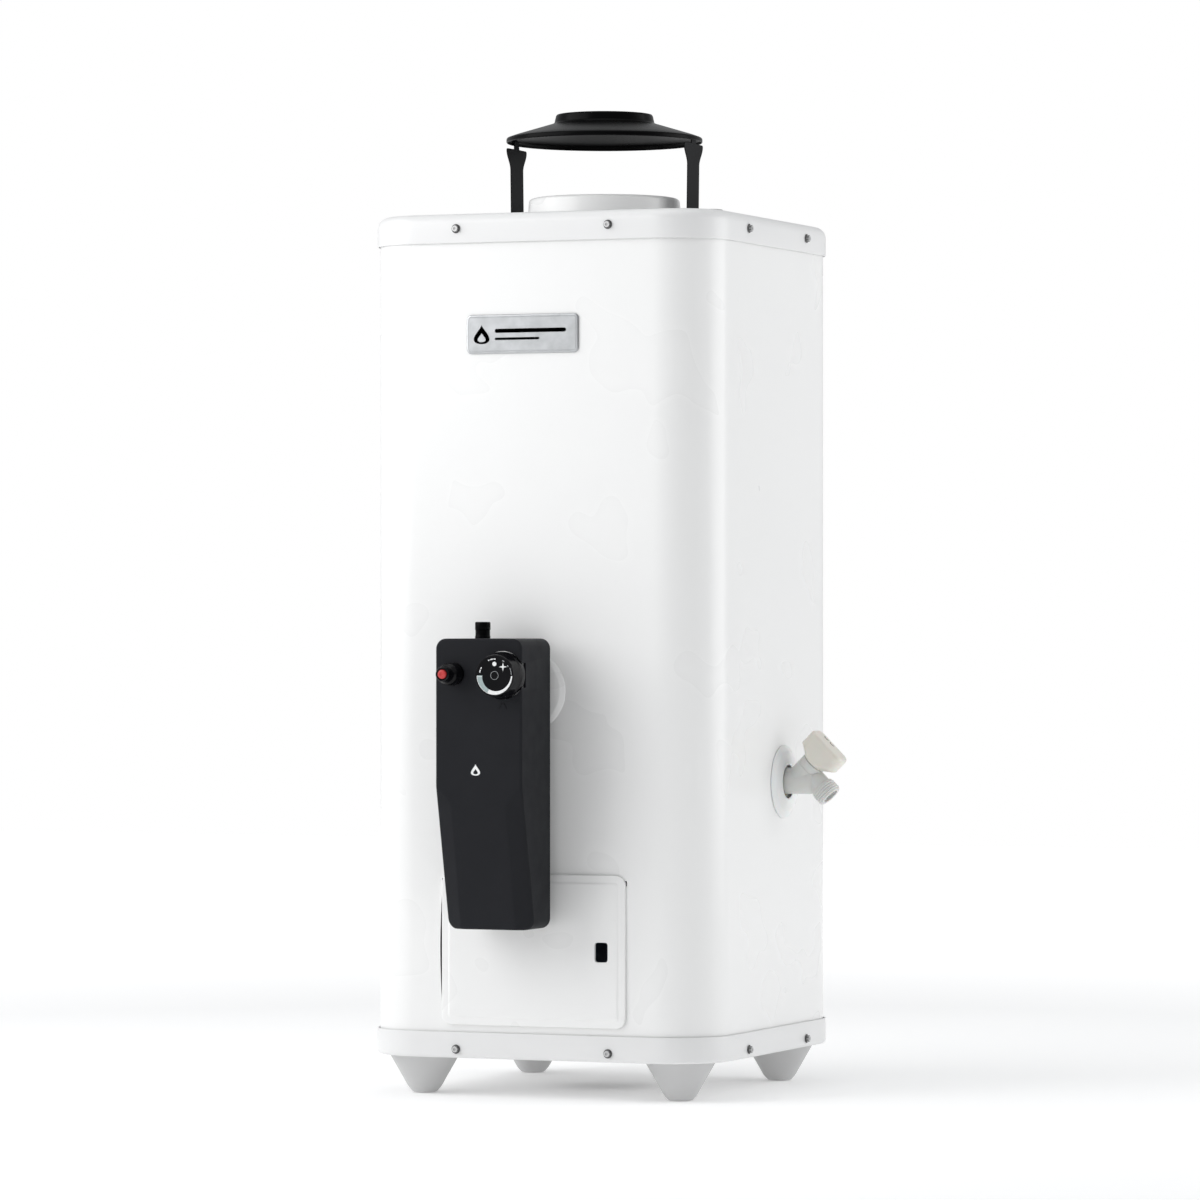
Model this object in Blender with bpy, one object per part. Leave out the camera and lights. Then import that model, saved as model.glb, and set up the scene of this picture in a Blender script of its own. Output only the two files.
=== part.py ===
"""Tank water heater: a small free-standing gas storage heater with a square white jacket.

Units are metres and +Z is up. Everything is drawn in the casing's own frame: the casing's axis is
the Z axis, the front faces -Y, and the floor is at Z = 0. The root empty then moves the assembly so
that the origin is the bottom centre of its bounding box.
"""
import math

import bmesh
import bpy
from mathutils import Matrix, Vector

GAP = 0.0003            # clearance between two pieces that touch

# Jacket and its two caps
JACKET_SIZE = 0.365
JACKET_RADIUS = 0.057
JACKET_SKIN = 0.001
JACKET_BOTTOM = 0.0420
JACKET_TOP = 0.8495
CAP_SIZE = 0.370
CAP_RADIUS = 0.059
CAP_SKIN = 0.001
TOP_CAP_BOTTOM = 0.832
TOP_CAP_TOP = 0.861
TOP_CAP_ROLL = 0.011
BOTTOM_CAP_BOTTOM = 0.038
BOTTOM_CAP_TOP = 0.0635
BOTTOM_CAP_ROLL = 0.0035
AIR_HOLE_RADIUS = 0.045
CORNER_STEPS = 6
JACKET_HALF = JACKET_SIZE / 2
CAP_HALF = CAP_SIZE / 2

# Screws that hold the caps to the jacket
SCREW_OFFSET = 0.080
SCREW_Z_TOP = 0.846
SCREW_Z_BOTTOM = 0.0467
SCREW_FLANGE_RADIUS = 0.0045
SCREW_HEX_RADIUS = 0.0034
SCREW_SHANK_RADIUS = 0.0019
SCREW_HOLE_RADIUS = 0.0023
SCREW_LENGTH = 0.009
SCREW_FLANGE_HEIGHT = 0.0010
SCREW_HEAD_HEIGHT = 0.0040

# Feet
FOOT_OFFSET = 0.1355
FOOT_TOP_RADIUS = 0.0346
FOOT_BOTTOM_RADIUS = 0.0155
FOOT_ROUNDING = 0.004

# Tank, flue and what stands in them
TANK_RADIUS = 0.150
TANK_WALL = 0.002
TANK_BOTTOM = 0.0395
TANK_TOP = 0.802
BOTTOM_HEAD_Z = 0.240
TOP_HEAD_Z = 0.780
HEAD_FLANGE = 0.020
HEAD_RISE = 0.022
FLUE_RADIUS = 0.038
FLUE_WALL = 0.0015
FLUE_BOTTOM = 0.282
FLUE_TOP = 0.876
FLUE_HOLE_IN_CAP = 0.062
BAFFLE_WIDTH = 0.050
BAFFLE_THICKNESS = 0.0012
BAFFLE_BOTTOM = 0.330
BAFFLE_TOP = 0.838
BAFFLE_TURNS = 1.5
INSULATION_BOTTOM = 0.242
INSULATION_TOP = 0.841
INSULATION_CEILING = 0.834
NIPPLE_X = 0.080
NIPPLE_Y = 0.085
NIPPLE_RADIUS = 0.0133
NIPPLE_BORE = 0.0102
NIPPLE_BOTTOM = 0.790
NIPPLE_TOP = 0.878
RING_RADIUS = 0.022
RING_HEIGHT = 0.0022
DIP_TUBE_RADIUS = 0.0090
DIP_TUBE_BORE = 0.0075
DIP_TUBE_BOTTOM = 0.300
DIP_TUBE_TOP = 0.858
ANODE_X = -0.080
ANODE_Y = -0.080
ANODE_RADIUS = 0.0080
ANODE_HEAD_RADIUS = 0.0130
ANODE_HEAD_Z = 0.818
ANODE_HEAD_HEIGHT = 0.012
ANODE_BOTTOM = 0.310

# Flue collar on the cap, and the draft hood above it
COLLAR_BASE_RADIUS = 0.077
COLLAR_TOP_RADIUS = 0.075
COLLAR_MOUTH_RADIUS = 0.048
COLLAR_TOP = 0.885
COLLAR_ROLL = 0.004
COLLAR_LIP = 0.006
COLLAR_SKIN = 0.0012
HOOD_RIM_RADIUS = 0.098
HOOD_RIM_BOTTOM = 0.9408
HOOD_RIM_TOP = 0.9458
HOOD_CROWN_BASE_RADIUS = 0.0508
HOOD_CROWN_BASE = 0.9600
HOOD_CROWN_RADIUS = 0.048
HOOD_CROWN_TOP = 0.969
HOOD_SKIN = 0.0012
LEG_X_LOW = 0.0940
LEG_X_HIGH = 0.0950
LEG_SKIN = 0.0012
LEG_HALF_WIDTH = 0.0152
LEG_SHOULDER_HALF_WIDTH = 0.0245
LEG_CORNER = 0.0020
LEG_TAB_HALF_WIDTH = 0.0057
LEG_FLARE_BOTTOM = 0.9165
LEG_SHOULDER = 0.9373
LEG_TAB_TOP = 0.9450
LEG_FOOT_LENGTH = 0.014

# Badge plate
BADGE_CENTRE_X = -0.0102
BADGE_CENTRE_Z = 0.7425
BADGE_WIDTH = 0.1178
BADGE_HEIGHT = 0.038
BADGE_THICKNESS = 0.0014
BADGE_RADIUS = 0.005

# Burner access door and the openings behind it
DOOR_X = 0.0014
DOOR_WIDTH = 0.1932
DOOR_BOTTOM = 0.0705
DOOR_TOP = 0.2186
DOOR_RADIUS = 0.010
DOOR_DEPTH = 0.0038
DOOR_SKIN = 0.001
DOOR_HINGE_Z = 0.2181
DOOR_HOOK_X = 0.0931
DOOR_HOOK_WIDTH = 0.003
DOOR_HOOK_HEIGHT = 0.003
DOOR_HOOK_DROP = 0.0071
DOOR_HOOK_REACH = 0.0035
HOOK_SLOT_LOW = (0.0895, 0.2078)
HOOK_SLOT_HIGH = (0.0976, 0.2138)
WINDOW_X = 0.07325
WINDOW_Z = 0.14415
WINDOW_WIDTH = 0.0138
WINDOW_HEIGHT = 0.0196
WINDOW_RADIUS = 0.003
ACCESS_HALF_WIDTH = 0.086
ACCESS_BOTTOM = 0.086
ACCESS_TOP = 0.204
TANK_ACCESS_HALF_WIDTH = 0.084
TANK_ACCESS_TOP = 0.236
TUBE_SLOT_LEFT = -0.030
TUBE_SLOT_RIGHT = 0.008
TUBE_SLOT_BOTTOM = 0.219
TUBE_SLOT_TOP = 0.235

# Gas control: cover, valve body, dial, igniter and inlet
COVER_LEFT = -0.062
COVER_RIGHT = 0.028
COVER_BOTTOM = 0.1675
COVER_TOP = 0.447
COVER_BACK = -0.2045
COVER_FRONT = -0.2745
COVER_RADIUS = 0.010
COVER_WALL = 0.0025
COVER_EDGE = 0.0015
COVER_FOLD_SIDE_Z = 0.305
COVER_FOLD_CENTRE_Z = 0.285
COVER_FACET_WIDTH = 0.0166
COVER_CENTRE_SLOPE = 0.0235
COVER_SIDE_SLOPE = 0.0310
VALVE_LEFT = -0.045
VALVE_RIGHT = 0.011
VALVE_BOTTOM = 0.245
VALVE_TOP = 0.432
VALVE_FRONT = -0.258
VALVE_BACK = -0.212
SHANK_X = -0.004
SHANK_Z = 0.396
SHANK_RADIUS = 0.013
SHANK_END_Y = -0.146
SHANK_HOLE_RADIUS = 0.020
PROBE_RADIUS = 0.0048
PROBE_END_Y = -0.060
ESCUTCHEON_RADIUS = 0.039
ESCUTCHEON_BORE = 0.021
ESCUTCHEON_HEIGHT = 0.005
ESCUTCHEON_SKIN = 0.0012
DIAL_X = 0.008
DIAL_Z = 0.412
DIAL_BASE_RADIUS = 0.0224
DIAL_FACE_RADIUS = 0.0198
DIAL_HEIGHT = 0.0195
DIAL_BACK = -0.003
DIAL_BORE = 0.0044
DIAL_BORE_DEPTH = 0.012
DIAL_HOLE_RADIUS = 0.0234
STEM_RADIUS = 0.0040
STEM_TIP = 0.0075
IGNITER_X = -0.043
IGNITER_Z = 0.413
IGNITER_RADIUS = 0.0108
IGNITER_NECK_RADIUS = 0.0071
IGNITER_SHOULDER = 0.017
IGNITER_LENGTH = 0.027
IGNITER_BACK = -0.014
IGNITER_BORE = 0.0049
IGNITER_BORE_BOTTOM = 0.012
IGNITER_HOLE_RADIUS = 0.0112
BUTTON_RADIUS = 0.0044
BUTTON_BOTTOM = 0.018
BUTTON_TOP = 0.0285
INLET_X = -0.033
INLET_Y = -0.2275
INLET_RADIUS = 0.0075
INLET_BORE = 0.0050
INLET_TOP = 0.463
INLET_HOLE_RADIUS = 0.0083

# Burner, pilot and their tubes
BURNER_TUBE_RADIUS = 0.0045
PILOT_TUBE_RADIUS = 0.0020
THERMOCOUPLE_RADIUS = 0.0016
TUBE_BEND = 0.012
BURNER_CUP_RADIUS = 0.018
BURNER_HEAD_RADIUS = 0.057
BURNER_BOTTOM = 0.072
BURNER_TOP = 0.112
PILOT_PLATE_LOW = (-0.030, -0.063, 0.096)
PILOT_PLATE_HIGH = (-0.008, -0.059, 0.124)
BRACKET_HALF_WIDTH = 0.062
BRACKET_HALF_DEPTH = 0.012
BRACKET_SHEET = 0.0015

# Drain valve on the right-hand side
DRAIN_Y = 0.0225
DRAIN_Z = 0.3058
DRAIN_SHANK_RADIUS = 0.0130
DRAIN_SHANK_START = 0.146
DRAIN_SHANK_END = 0.2168
DRAIN_BORE = 0.0070
DRAIN_BORE_END = 0.2140
DRAIN_HOLE_RADIUS = 0.016
OUTLET_START_X = 0.2171
OUTLET_ANGLE = math.radians(-45.0)
OUTLET_BACK = -0.0075
OUTLET_LENGTH = 0.0215
OUTLET_NECK_RADIUS = 0.0105
OUTLET_RADIUS = 0.0130
OUTLET_BORE = 0.0080
BONNET_START_X = 0.1967
BONNET_ANGLE = math.radians(45.0)
BONNET_LENGTH = 0.0250
BONNET_RADIUS = 0.0125
BONNET_BORE = 0.0048
BONNET_BORE_BOTTOM = 0.006
DRAIN_STEM_RADIUS = 0.0042
DRAIN_STEM_BOTTOM = 0.008
DRAIN_STEM_TOP = 0.046
HANDLE_BOTTOM = 0.0255
HANDLE_SKIRT_TOP = 0.0335
HANDLE_TOP = 0.0505
HANDLE_LENGTH = 0.0435
HANDLE_WIDTH = 0.0260
HANDLE_CORNER = 0.0070
HANDLE_EDGE = 0.0020
HANDLE_BORE = 0.0045
HANDLE_BORE_TOP = 0.0465
DRAIN_PLATE_RADIUS = 0.0364
DRAIN_PLATE_BORE = 0.0195
DRAIN_PLATE_HEIGHT = 0.006
DRAIN_PLATE_Z = 0.3049

FRONT_TURN = (math.radians(90.0), 0.0, 0.0)      # turns local +Z to the front, -Y
RIGHT_TURN = (0.0, math.radians(90.0), 0.0)      # turns local +Z to the right, +X

PALETTE = {
    "white_enamel": ((0.86, 0.86, 0.85), 0.25, 0.0),
    "cap_enamel": ((0.74, 0.74, 0.74), 0.35, 0.0),
    "foot_plastic": ((0.55, 0.55, 0.55), 0.45, 0.0),
    "black_enamel": ((0.02, 0.02, 0.02), 0.35, 0.0),
    "control_plastic": ((0.05, 0.052, 0.058), 0.55, 0.0),
    "dial_plastic": ((0.01, 0.01, 0.012), 0.2, 0.0),
    "red_plastic": ((0.6, 0.05, 0.05), 0.35, 0.0),
    "blue_plastic": ((0.05, 0.15, 0.6), 0.35, 0.0),
    "ivory_plastic": ((0.68, 0.65, 0.56), 0.45, 0.0),
    "badge_metal": ((0.55, 0.55, 0.56), 0.35, 1.0),
    "zinc_steel": ((0.6, 0.6, 0.58), 0.35, 1.0),
    "tank_steel": ((0.20, 0.22, 0.26), 0.4, 0.6),
    "cast_aluminium": ((0.5, 0.5, 0.5), 0.5, 1.0),
    "magnesium": ((0.55, 0.55, 0.53), 0.6, 1.0),
    "brass": ((0.55, 0.42, 0.18), 0.35, 1.0),
    "foam": ((0.80, 0.66, 0.30), 0.9, 0.0),
    "dip_plastic": ((0.75, 0.78, 0.80), 0.4, 0.0),
}


def clear_scene():
    for obj in list(bpy.data.objects):
        bpy.data.objects.remove(obj, do_unlink=True)


def finish_of(name):
    """The Principled material of a palette entry, made once."""
    found = bpy.data.materials.get(name)
    if found:
        return found
    colour, roughness, metallic = PALETTE[name]
    made = bpy.data.materials.new(name)
    made.use_nodes = True
    shader = made.node_tree.nodes["Principled BSDF"]
    shader.inputs["Base Color"].default_value = (*colour, 1.0)
    shader.inputs["Roughness"].default_value = roughness
    shader.inputs["Metallic"].default_value = metallic
    return made


def place(name, data, root, location=(0, 0, 0), rotation=(0, 0, 0)):
    """Link an object with this data under the root empty."""
    obj = bpy.data.objects.new(name, data)
    obj.parent = root
    obj.location = location
    obj.rotation_euler = rotation
    bpy.context.scene.collection.objects.link(obj)
    return obj


def face_outwards(bm):
    bmesh.ops.recalc_face_normals(bm, faces=bm.faces)
    if bm.calc_volume(signed=True) < 0:
        bmesh.ops.reverse_faces(bm, faces=bm.faces)


def solid(name, bm, finish, root, location=(0, 0, 0), rotation=(0, 0, 0)):
    """Turn a bmesh into a named part with its material, faces pointing out."""
    face_outwards(bm)
    mesh = bpy.data.meshes.new(name)
    bm.to_mesh(mesh)
    bm.free()
    mesh.shade_smooth()
    mesh.set_sharp_from_angle(angle=math.radians(35.0))
    mesh.materials.append(finish_of(finish))
    return place(name, mesh, root, location, rotation)


def cutter(name, bm, root, location=(0, 0, 0), rotation=(0, 0, 0)):
    """A guide solid for Boolean modifiers, which is not part of the object."""
    face_outwards(bm)
    mesh = bpy.data.meshes.new(name)
    bm.to_mesh(mesh)
    bm.free()
    obj = place(name, mesh, root, location, rotation)
    obj.hide_render = True
    obj.display_type = "WIRE"
    return obj


def boolean(obj, tool, operation="DIFFERENCE"):
    modifier = obj.modifiers.new(tool.name, "BOOLEAN")
    modifier.operation = operation
    modifier.object = tool
    modifier.solver = "EXACT"


def rounded_outline(width, height, radius, steps):
    """Points of a rounded rectangle about the origin, counter-clockwise."""
    points = []
    for corner, (sx, sy) in enumerate(((1, 1), (-1, 1), (-1, -1), (1, -1))):
        cx = sx * (width / 2 - radius)
        cy = sy * (height / 2 - radius)
        for step in range(steps + 1):
            angle = math.radians(90.0) * (corner + step / steps)
            points.append((cx + radius * math.cos(angle), cy + radius * math.sin(angle)))
    return points


def circle(radius, steps):
    turn = 2 * math.pi / steps
    return [(radius * math.cos(turn * i), radius * math.sin(turn * i)) for i in range(steps)]


def loft(bm, rings, closed=False):
    """Skin rings of equal point counts; the ends are capped unless the loft closes on itself."""
    loops = [[bm.verts.new(point) for point in ring] for ring in rings]
    count = len(loops[0])
    pairs = list(zip(loops, loops[1:]))
    if closed:
        pairs.append((loops[-1], loops[0]))
    for low, high in pairs:
        for i in range(count):
            j = (i + 1) % count
            bm.faces.new((low[i], low[j], high[j], high[i]))
    if not closed:
        bm.faces.new(list(reversed(loops[0])))
        bm.faces.new(loops[-1])
    return loops


def at_height(outline, z):
    return [(x, y, z) for x, y in outline]


def turned(profile, steps, closed=False):
    """A turned solid from (radius, z) points; a closed profile makes a ring or a tube."""
    bm = bmesh.new()
    loft(bm, [at_height(circle(radius, steps), z) for radius, z in profile], closed)
    return bm


def add_box(bm, low, high):
    size = [b - a for a, b in zip(low, high)]
    centre = [(a + b) / 2 for a, b in zip(low, high)]
    matrix = Matrix.Translation(centre) @ Matrix.Diagonal((*size, 1.0))
    bmesh.ops.create_cube(bm, size=1.0, matrix=matrix)


def add_rod(bm, start, end, radius, steps):
    """A cylinder from one point to another."""
    start = Vector(start)
    along = Vector(end) - start
    turn = along.to_track_quat("Z", "Y").to_matrix().to_4x4()
    matrix = Matrix.Translation(start + along / 2) @ turn
    bmesh.ops.create_cone(bm, cap_ends=True, segments=steps, radius1=radius, radius2=radius,
                          depth=along.length, matrix=matrix)


def rod(start, end, radius, steps):
    bm = bmesh.new()
    add_rod(bm, start, end, radius, steps)
    return bm


def box(low, high):
    bm = bmesh.new()
    add_box(bm, low, high)
    return bm


def arc(centre, radius, first, last, steps):
    """(radius, z) points on an arc; angles are in degrees from the outward direction."""
    points = []
    for step in range(steps + 1):
        angle = math.radians(first + (last - first) * step / steps)
        points.append((centre[0] + radius * math.cos(angle), centre[1] + radius * math.sin(angle)))
    return points


def slanted_turn(angle):
    """Turns local +Z onto a slanted axis in the XZ plane."""
    return (0.0, math.radians(90.0) - angle, 0.0)


def drain_point(start_x, angle, distance):
    """A point on one of the drain valve's slanted axes."""
    return (start_x + distance * math.cos(angle), DRAIN_Y, DRAIN_Z + distance * math.sin(angle))


# ------------------------------------------------------------------ casing

def screw_sites():
    """Name, place and facing angle of each of the sixteen cap screws."""
    sites = []
    for level, z in (("top", SCREW_Z_TOP), ("bottom", SCREW_Z_BOTTOM)):
        for side, angle in (("front", -90.0), ("right", 0.0), ("back", 90.0), ("left", 180.0)):
            for number, offset in ((1, -SCREW_OFFSET), (2, SCREW_OFFSET)):
                facing = math.radians(angle)
                x = CAP_HALF * math.cos(facing) - offset * math.sin(facing)
                y = CAP_HALF * math.sin(facing) + offset * math.cos(facing)
                sites.append((f"screw_{level}_{side}_{number}", (x, y, z), facing))
    return sites


def screw_hole_cutter(root):
    bm = bmesh.new()
    for _, (x, y, z), facing in screw_sites():
        out = Vector((math.cos(facing), math.sin(facing), 0.0))
        site = Vector((x, y, z))
        add_rod(bm, site + out * 0.004, site - out * 0.008, SCREW_HOLE_RADIUS, 8)
    return cutter("cut_screw_holes", bm, root)


def make_screws(root):
    steps = 12
    flat = math.cos(math.radians(30.0))
    hexagon = [(x * (1.0 if i % 2 == 0 else flat), y * (1.0 if i % 2 == 0 else flat))
               for i, (x, y) in enumerate(circle(SCREW_HEX_RADIUS, steps))]
    shank = circle(SCREW_SHANK_RADIUS, steps)
    flange = circle(SCREW_FLANGE_RADIUS, steps)
    bm = bmesh.new()
    loft(bm, [at_height(shank, -SCREW_LENGTH), at_height(shank, GAP), at_height(flange, GAP),
              at_height(flange, GAP + SCREW_FLANGE_HEIGHT),
              at_height(hexagon, GAP + SCREW_FLANGE_HEIGHT), at_height(hexagon, SCREW_HEAD_HEIGHT)])
    sites = screw_sites()
    first = solid(sites[0][0], bm, "zinc_steel", root)
    for number, (name, location, facing) in enumerate(sites):
        obj = first if number == 0 else place(name, first.data, root)
        obj.location = location
        obj.rotation_euler = (0.0, math.radians(90.0), facing)


def jacket_outline(inset=0.0):
    return rounded_outline(JACKET_SIZE - 2 * inset, JACKET_SIZE - 2 * inset,
                           JACKET_RADIUS - inset, CORNER_STEPS)


def cap_outline(inset=0.0):
    return rounded_outline(CAP_SIZE - 2 * inset, CAP_SIZE - 2 * inset,
                           CAP_RADIUS - inset, CORNER_STEPS)


def make_jacket(root, screw_holes):
    outer = jacket_outline()
    inner = jacket_outline(JACKET_SKIN)
    bm = bmesh.new()
    loft(bm, [at_height(outer, JACKET_BOTTOM), at_height(outer, JACKET_TOP),
              at_height(inner, JACKET_TOP), at_height(inner, JACKET_BOTTOM)], closed=True)
    jacket = solid("outer_jacket", bm, "white_enamel", root)
    cuts = bmesh.new()
    add_box(cuts, (-ACCESS_HALF_WIDTH, -JACKET_HALF - 0.005, ACCESS_BOTTOM),
            (ACCESS_HALF_WIDTH, -JACKET_HALF + 0.005, ACCESS_TOP))
    add_box(cuts, (TUBE_SLOT_LEFT, -JACKET_HALF - 0.005, TUBE_SLOT_BOTTOM),
            (TUBE_SLOT_RIGHT, -JACKET_HALF + 0.005, TUBE_SLOT_TOP))
    for side in (-1, 1):
        edges = sorted((DOOR_X + side * HOOK_SLOT_LOW[0], DOOR_X + side * HOOK_SLOT_HIGH[0]))
        add_box(cuts, (edges[0], -JACKET_HALF - 0.005, HOOK_SLOT_LOW[1]),
                (edges[1], -JACKET_HALF + 0.005, HOOK_SLOT_HIGH[1]))
    add_rod(cuts, (SHANK_X, -JACKET_HALF - 0.005, SHANK_Z), (SHANK_X, -JACKET_HALF + 0.005, SHANK_Z),
            SHANK_HOLE_RADIUS, 20)
    add_rod(cuts, (JACKET_HALF - 0.005, DRAIN_Y, DRAIN_Z), (JACKET_HALF + 0.005, DRAIN_Y, DRAIN_Z),
            DRAIN_HOLE_RADIUS, 16)
    boolean(jacket, cutter("cut_jacket_openings", cuts, root))
    boolean(jacket, screw_holes)


def make_top_cap(root, screw_holes):
    """An inverted pan with a rolled top edge."""
    steps = 3
    rings = []
    for skin in (CAP_SKIN, 0.0):
        top = TOP_CAP_TOP - skin
        roll = TOP_CAP_ROLL - skin
        section = [at_height(cap_outline(skin), TOP_CAP_BOTTOM)]
        for step in range(steps + 1):
            angle = math.radians(90.0) * step / steps
            inset = skin + roll * (1 - math.cos(angle))
            section.append(at_height(cap_outline(inset), top - roll * (1 - math.sin(angle))))
        rings += list(reversed(section)) if skin else section
    bm = bmesh.new()
    loft(bm, rings)
    cap = solid("top_cap", bm, "cap_enamel", root)
    cuts = rod((0, 0, TOP_CAP_TOP - 0.005), (0, 0, TOP_CAP_TOP + 0.005), FLUE_HOLE_IN_CAP, 32)
    for side in (-1, 1):
        add_rod(cuts, (side * NIPPLE_X, NIPPLE_Y, TOP_CAP_TOP - 0.005),
                (side * NIPPLE_X, NIPPLE_Y, TOP_CAP_TOP + 0.005), NIPPLE_RADIUS + 0.0015, 16)
    boolean(cap, cutter("cut_top_cap_holes", cuts, root))
    boolean(cap, screw_holes)


def make_bottom_cap(root, screw_holes):
    """A pan that the jacket stands in, with an air hole under the burner."""
    steps = 2
    rings = []
    for skin in (CAP_SKIN, 0.0):
        bottom = BOTTOM_CAP_BOTTOM + skin
        roll = BOTTOM_CAP_ROLL - skin
        section = [at_height(cap_outline(skin), BOTTOM_CAP_TOP)]
        for step in range(steps + 1):
            angle = math.radians(90.0) * step / steps
            inset = skin + roll * (1 - math.cos(angle))
            section.append(at_height(cap_outline(inset), bottom + roll * (1 - math.sin(angle))))
        rings += list(reversed(section)) if skin else section
    bm = bmesh.new()
    loft(bm, rings)
    cap = solid("bottom_cap", bm, "cap_enamel", root)
    cuts = rod((0, 0, BOTTOM_CAP_BOTTOM - 0.005), (0, 0, BOTTOM_CAP_BOTTOM + 0.005),
               AIR_HOLE_RADIUS, 24)
    boolean(cap, cutter("cut_air_hole", cuts, root))
    boolean(cap, screw_holes)


def make_feet(root):
    rounding = FOOT_ROUNDING
    profile = [(FOOT_BOTTOM_RADIUS - rounding, 0.0), (FOOT_BOTTOM_RADIUS - 0.3 * rounding, 0.3 * rounding),
               (FOOT_BOTTOM_RADIUS + 0.2 * rounding, rounding),
               (FOOT_TOP_RADIUS, BOTTOM_CAP_BOTTOM - GAP)]
    first = solid("foot_front_left", turned(profile, 20), "foot_plastic", root)
    first.location = (-FOOT_OFFSET, -FOOT_OFFSET, 0.0)
    for name, sx, sy in (("foot_front_right", 1, -1), ("foot_rear_left", -1, 1),
                         ("foot_rear_right", 1, 1)):
        place(name, first.data, root, (sx * FOOT_OFFSET, sy * FOOT_OFFSET, 0.0))


def make_badge(root):
    outline = rounded_outline(BADGE_WIDTH, BADGE_HEIGHT, BADGE_RADIUS, 4)
    bm = bmesh.new()
    loft(bm, [at_height(outline, GAP), at_height(outline, GAP + BADGE_THICKNESS)])
    solid("badge_plate", bm, "badge_metal", root,
          (BADGE_CENTRE_X, -JACKET_HALF, BADGE_CENTRE_Z), FRONT_TURN)


def make_door(root):
    """A shallow pan door; its origin is on the tilt axis along its top edge."""
    centre_z = (DOOR_BOTTOM + DOOR_TOP) / 2 - DOOR_HINGE_Z
    height = DOOR_TOP - DOOR_BOTTOM

    def outline(inset):
        shape = rounded_outline(DOOR_WIDTH - 2 * inset, height - 2 * inset, DOOR_RADIUS - inset, 3)
        return [(x, y + centre_z) for x, y in shape]

    bm = bmesh.new()
    depth = DOOR_DEPTH
    loft(bm, [at_height(outline(DOOR_SKIN), depth - DOOR_SKIN), at_height(outline(DOOR_SKIN), GAP),
              at_height(outline(0.0), GAP), at_height(outline(0.0), depth - DOOR_SKIN),
              at_height(outline(DOOR_SKIN), depth)])
    door = solid("burner_door", bm, "white_enamel", root, (DOOR_X, -JACKET_HALF, DOOR_HINGE_Z), FRONT_TURN)
    for side, word in ((-1, "left"), (1, "right")):
        reach = DOOR_HOOK_X + DOOR_HOOK_WIDTH
        edges = sorted((DOOR_X + side * DOOR_HOOK_X, DOOR_X + side * reach))
        top = DOOR_HINGE_Z - DOOR_HOOK_DROP + DOOR_HOOK_HEIGHT / 2
        hook = box((edges[0], -JACKET_HALF - 0.0015, top - DOOR_HOOK_HEIGHT),
                   (edges[1], -JACKET_HALF + DOOR_HOOK_REACH, top))
        boolean(door, cutter(f"add_door_hook_{word}", hook, root), "UNION")
    window = bmesh.new()
    slot = rounded_outline(WINDOW_WIDTH, WINDOW_HEIGHT, WINDOW_RADIUS, 3)
    loft(window, [at_height(slot, -0.005), at_height(slot, 0.010)])
    boolean(door, cutter("cut_pilot_window", window, root,
                         (WINDOW_X, -JACKET_HALF, WINDOW_Z), FRONT_TURN))


# ------------------------------------------------------------------ flue outlet

def make_collar(root):
    base = TOP_CAP_TOP + GAP
    skin = COLLAR_SKIN
    centre = (COLLAR_TOP_RADIUS - COLLAR_ROLL, COLLAR_TOP - COLLAR_ROLL)
    profile = [(COLLAR_BASE_RADIUS, base)] + arc(centre, COLLAR_ROLL, 0, 90, 2)
    profile += [(COLLAR_MOUTH_RADIUS, COLLAR_TOP), (COLLAR_MOUTH_RADIUS, COLLAR_TOP - COLLAR_LIP),
                (COLLAR_MOUTH_RADIUS + skin, COLLAR_TOP - COLLAR_LIP),
                (COLLAR_MOUTH_RADIUS + skin, COLLAR_TOP - skin)]
    profile += arc(centre, COLLAR_ROLL - skin, 90, 0, 2)
    profile += [(COLLAR_BASE_RADIUS - skin, base)]
    solid("flue_collar", turned(profile, 32, closed=True), "white_enamel", root)


def make_hood(root):
    skin = HOOD_SKIN
    outside = [(HOOD_RIM_RADIUS, HOOD_RIM_BOTTOM), (HOOD_RIM_RADIUS, HOOD_RIM_TOP),
               (HOOD_CROWN_BASE_RADIUS, HOOD_CROWN_BASE), (HOOD_CROWN_RADIUS, HOOD_CROWN_TOP)]
    inside = [(HOOD_CROWN_RADIUS - skin, HOOD_CROWN_TOP),
              (HOOD_CROWN_BASE_RADIUS - skin, HOOD_CROWN_BASE - skin * 0.6),
              (HOOD_RIM_RADIUS - skin, HOOD_RIM_TOP - skin * 0.6),
              (HOOD_RIM_RADIUS - skin, HOOD_RIM_BOTTOM)]
    solid("draft_hood", turned(outside + inside, 36, closed=True), "black_enamel", root)


def leg_outline(base):
    """Half of a leg's outline in (y, z), from the cap up to the top of its tab."""
    rise = LEG_SHOULDER - LEG_CORNER - LEG_FLARE_BOTTOM
    spread = LEG_SHOULDER_HALF_WIDTH - LEG_HALF_WIDTH
    points = [(LEG_HALF_WIDTH, base)]
    for share in (0.0, 0.25, 0.5, 0.75, 1.0):
        smooth = share * share * (3 - 2 * share)
        points.append((LEG_HALF_WIDTH + spread * smooth, LEG_FLARE_BOTTOM + rise * share))
    centre = (LEG_SHOULDER_HALF_WIDTH - LEG_CORNER, LEG_SHOULDER - LEG_CORNER)
    points += arc(centre, LEG_CORNER, 30, 90, 2)
    points += [(LEG_TAB_HALF_WIDTH, LEG_SHOULDER), (LEG_TAB_HALF_WIDTH, LEG_TAB_TOP)]
    return points


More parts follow.
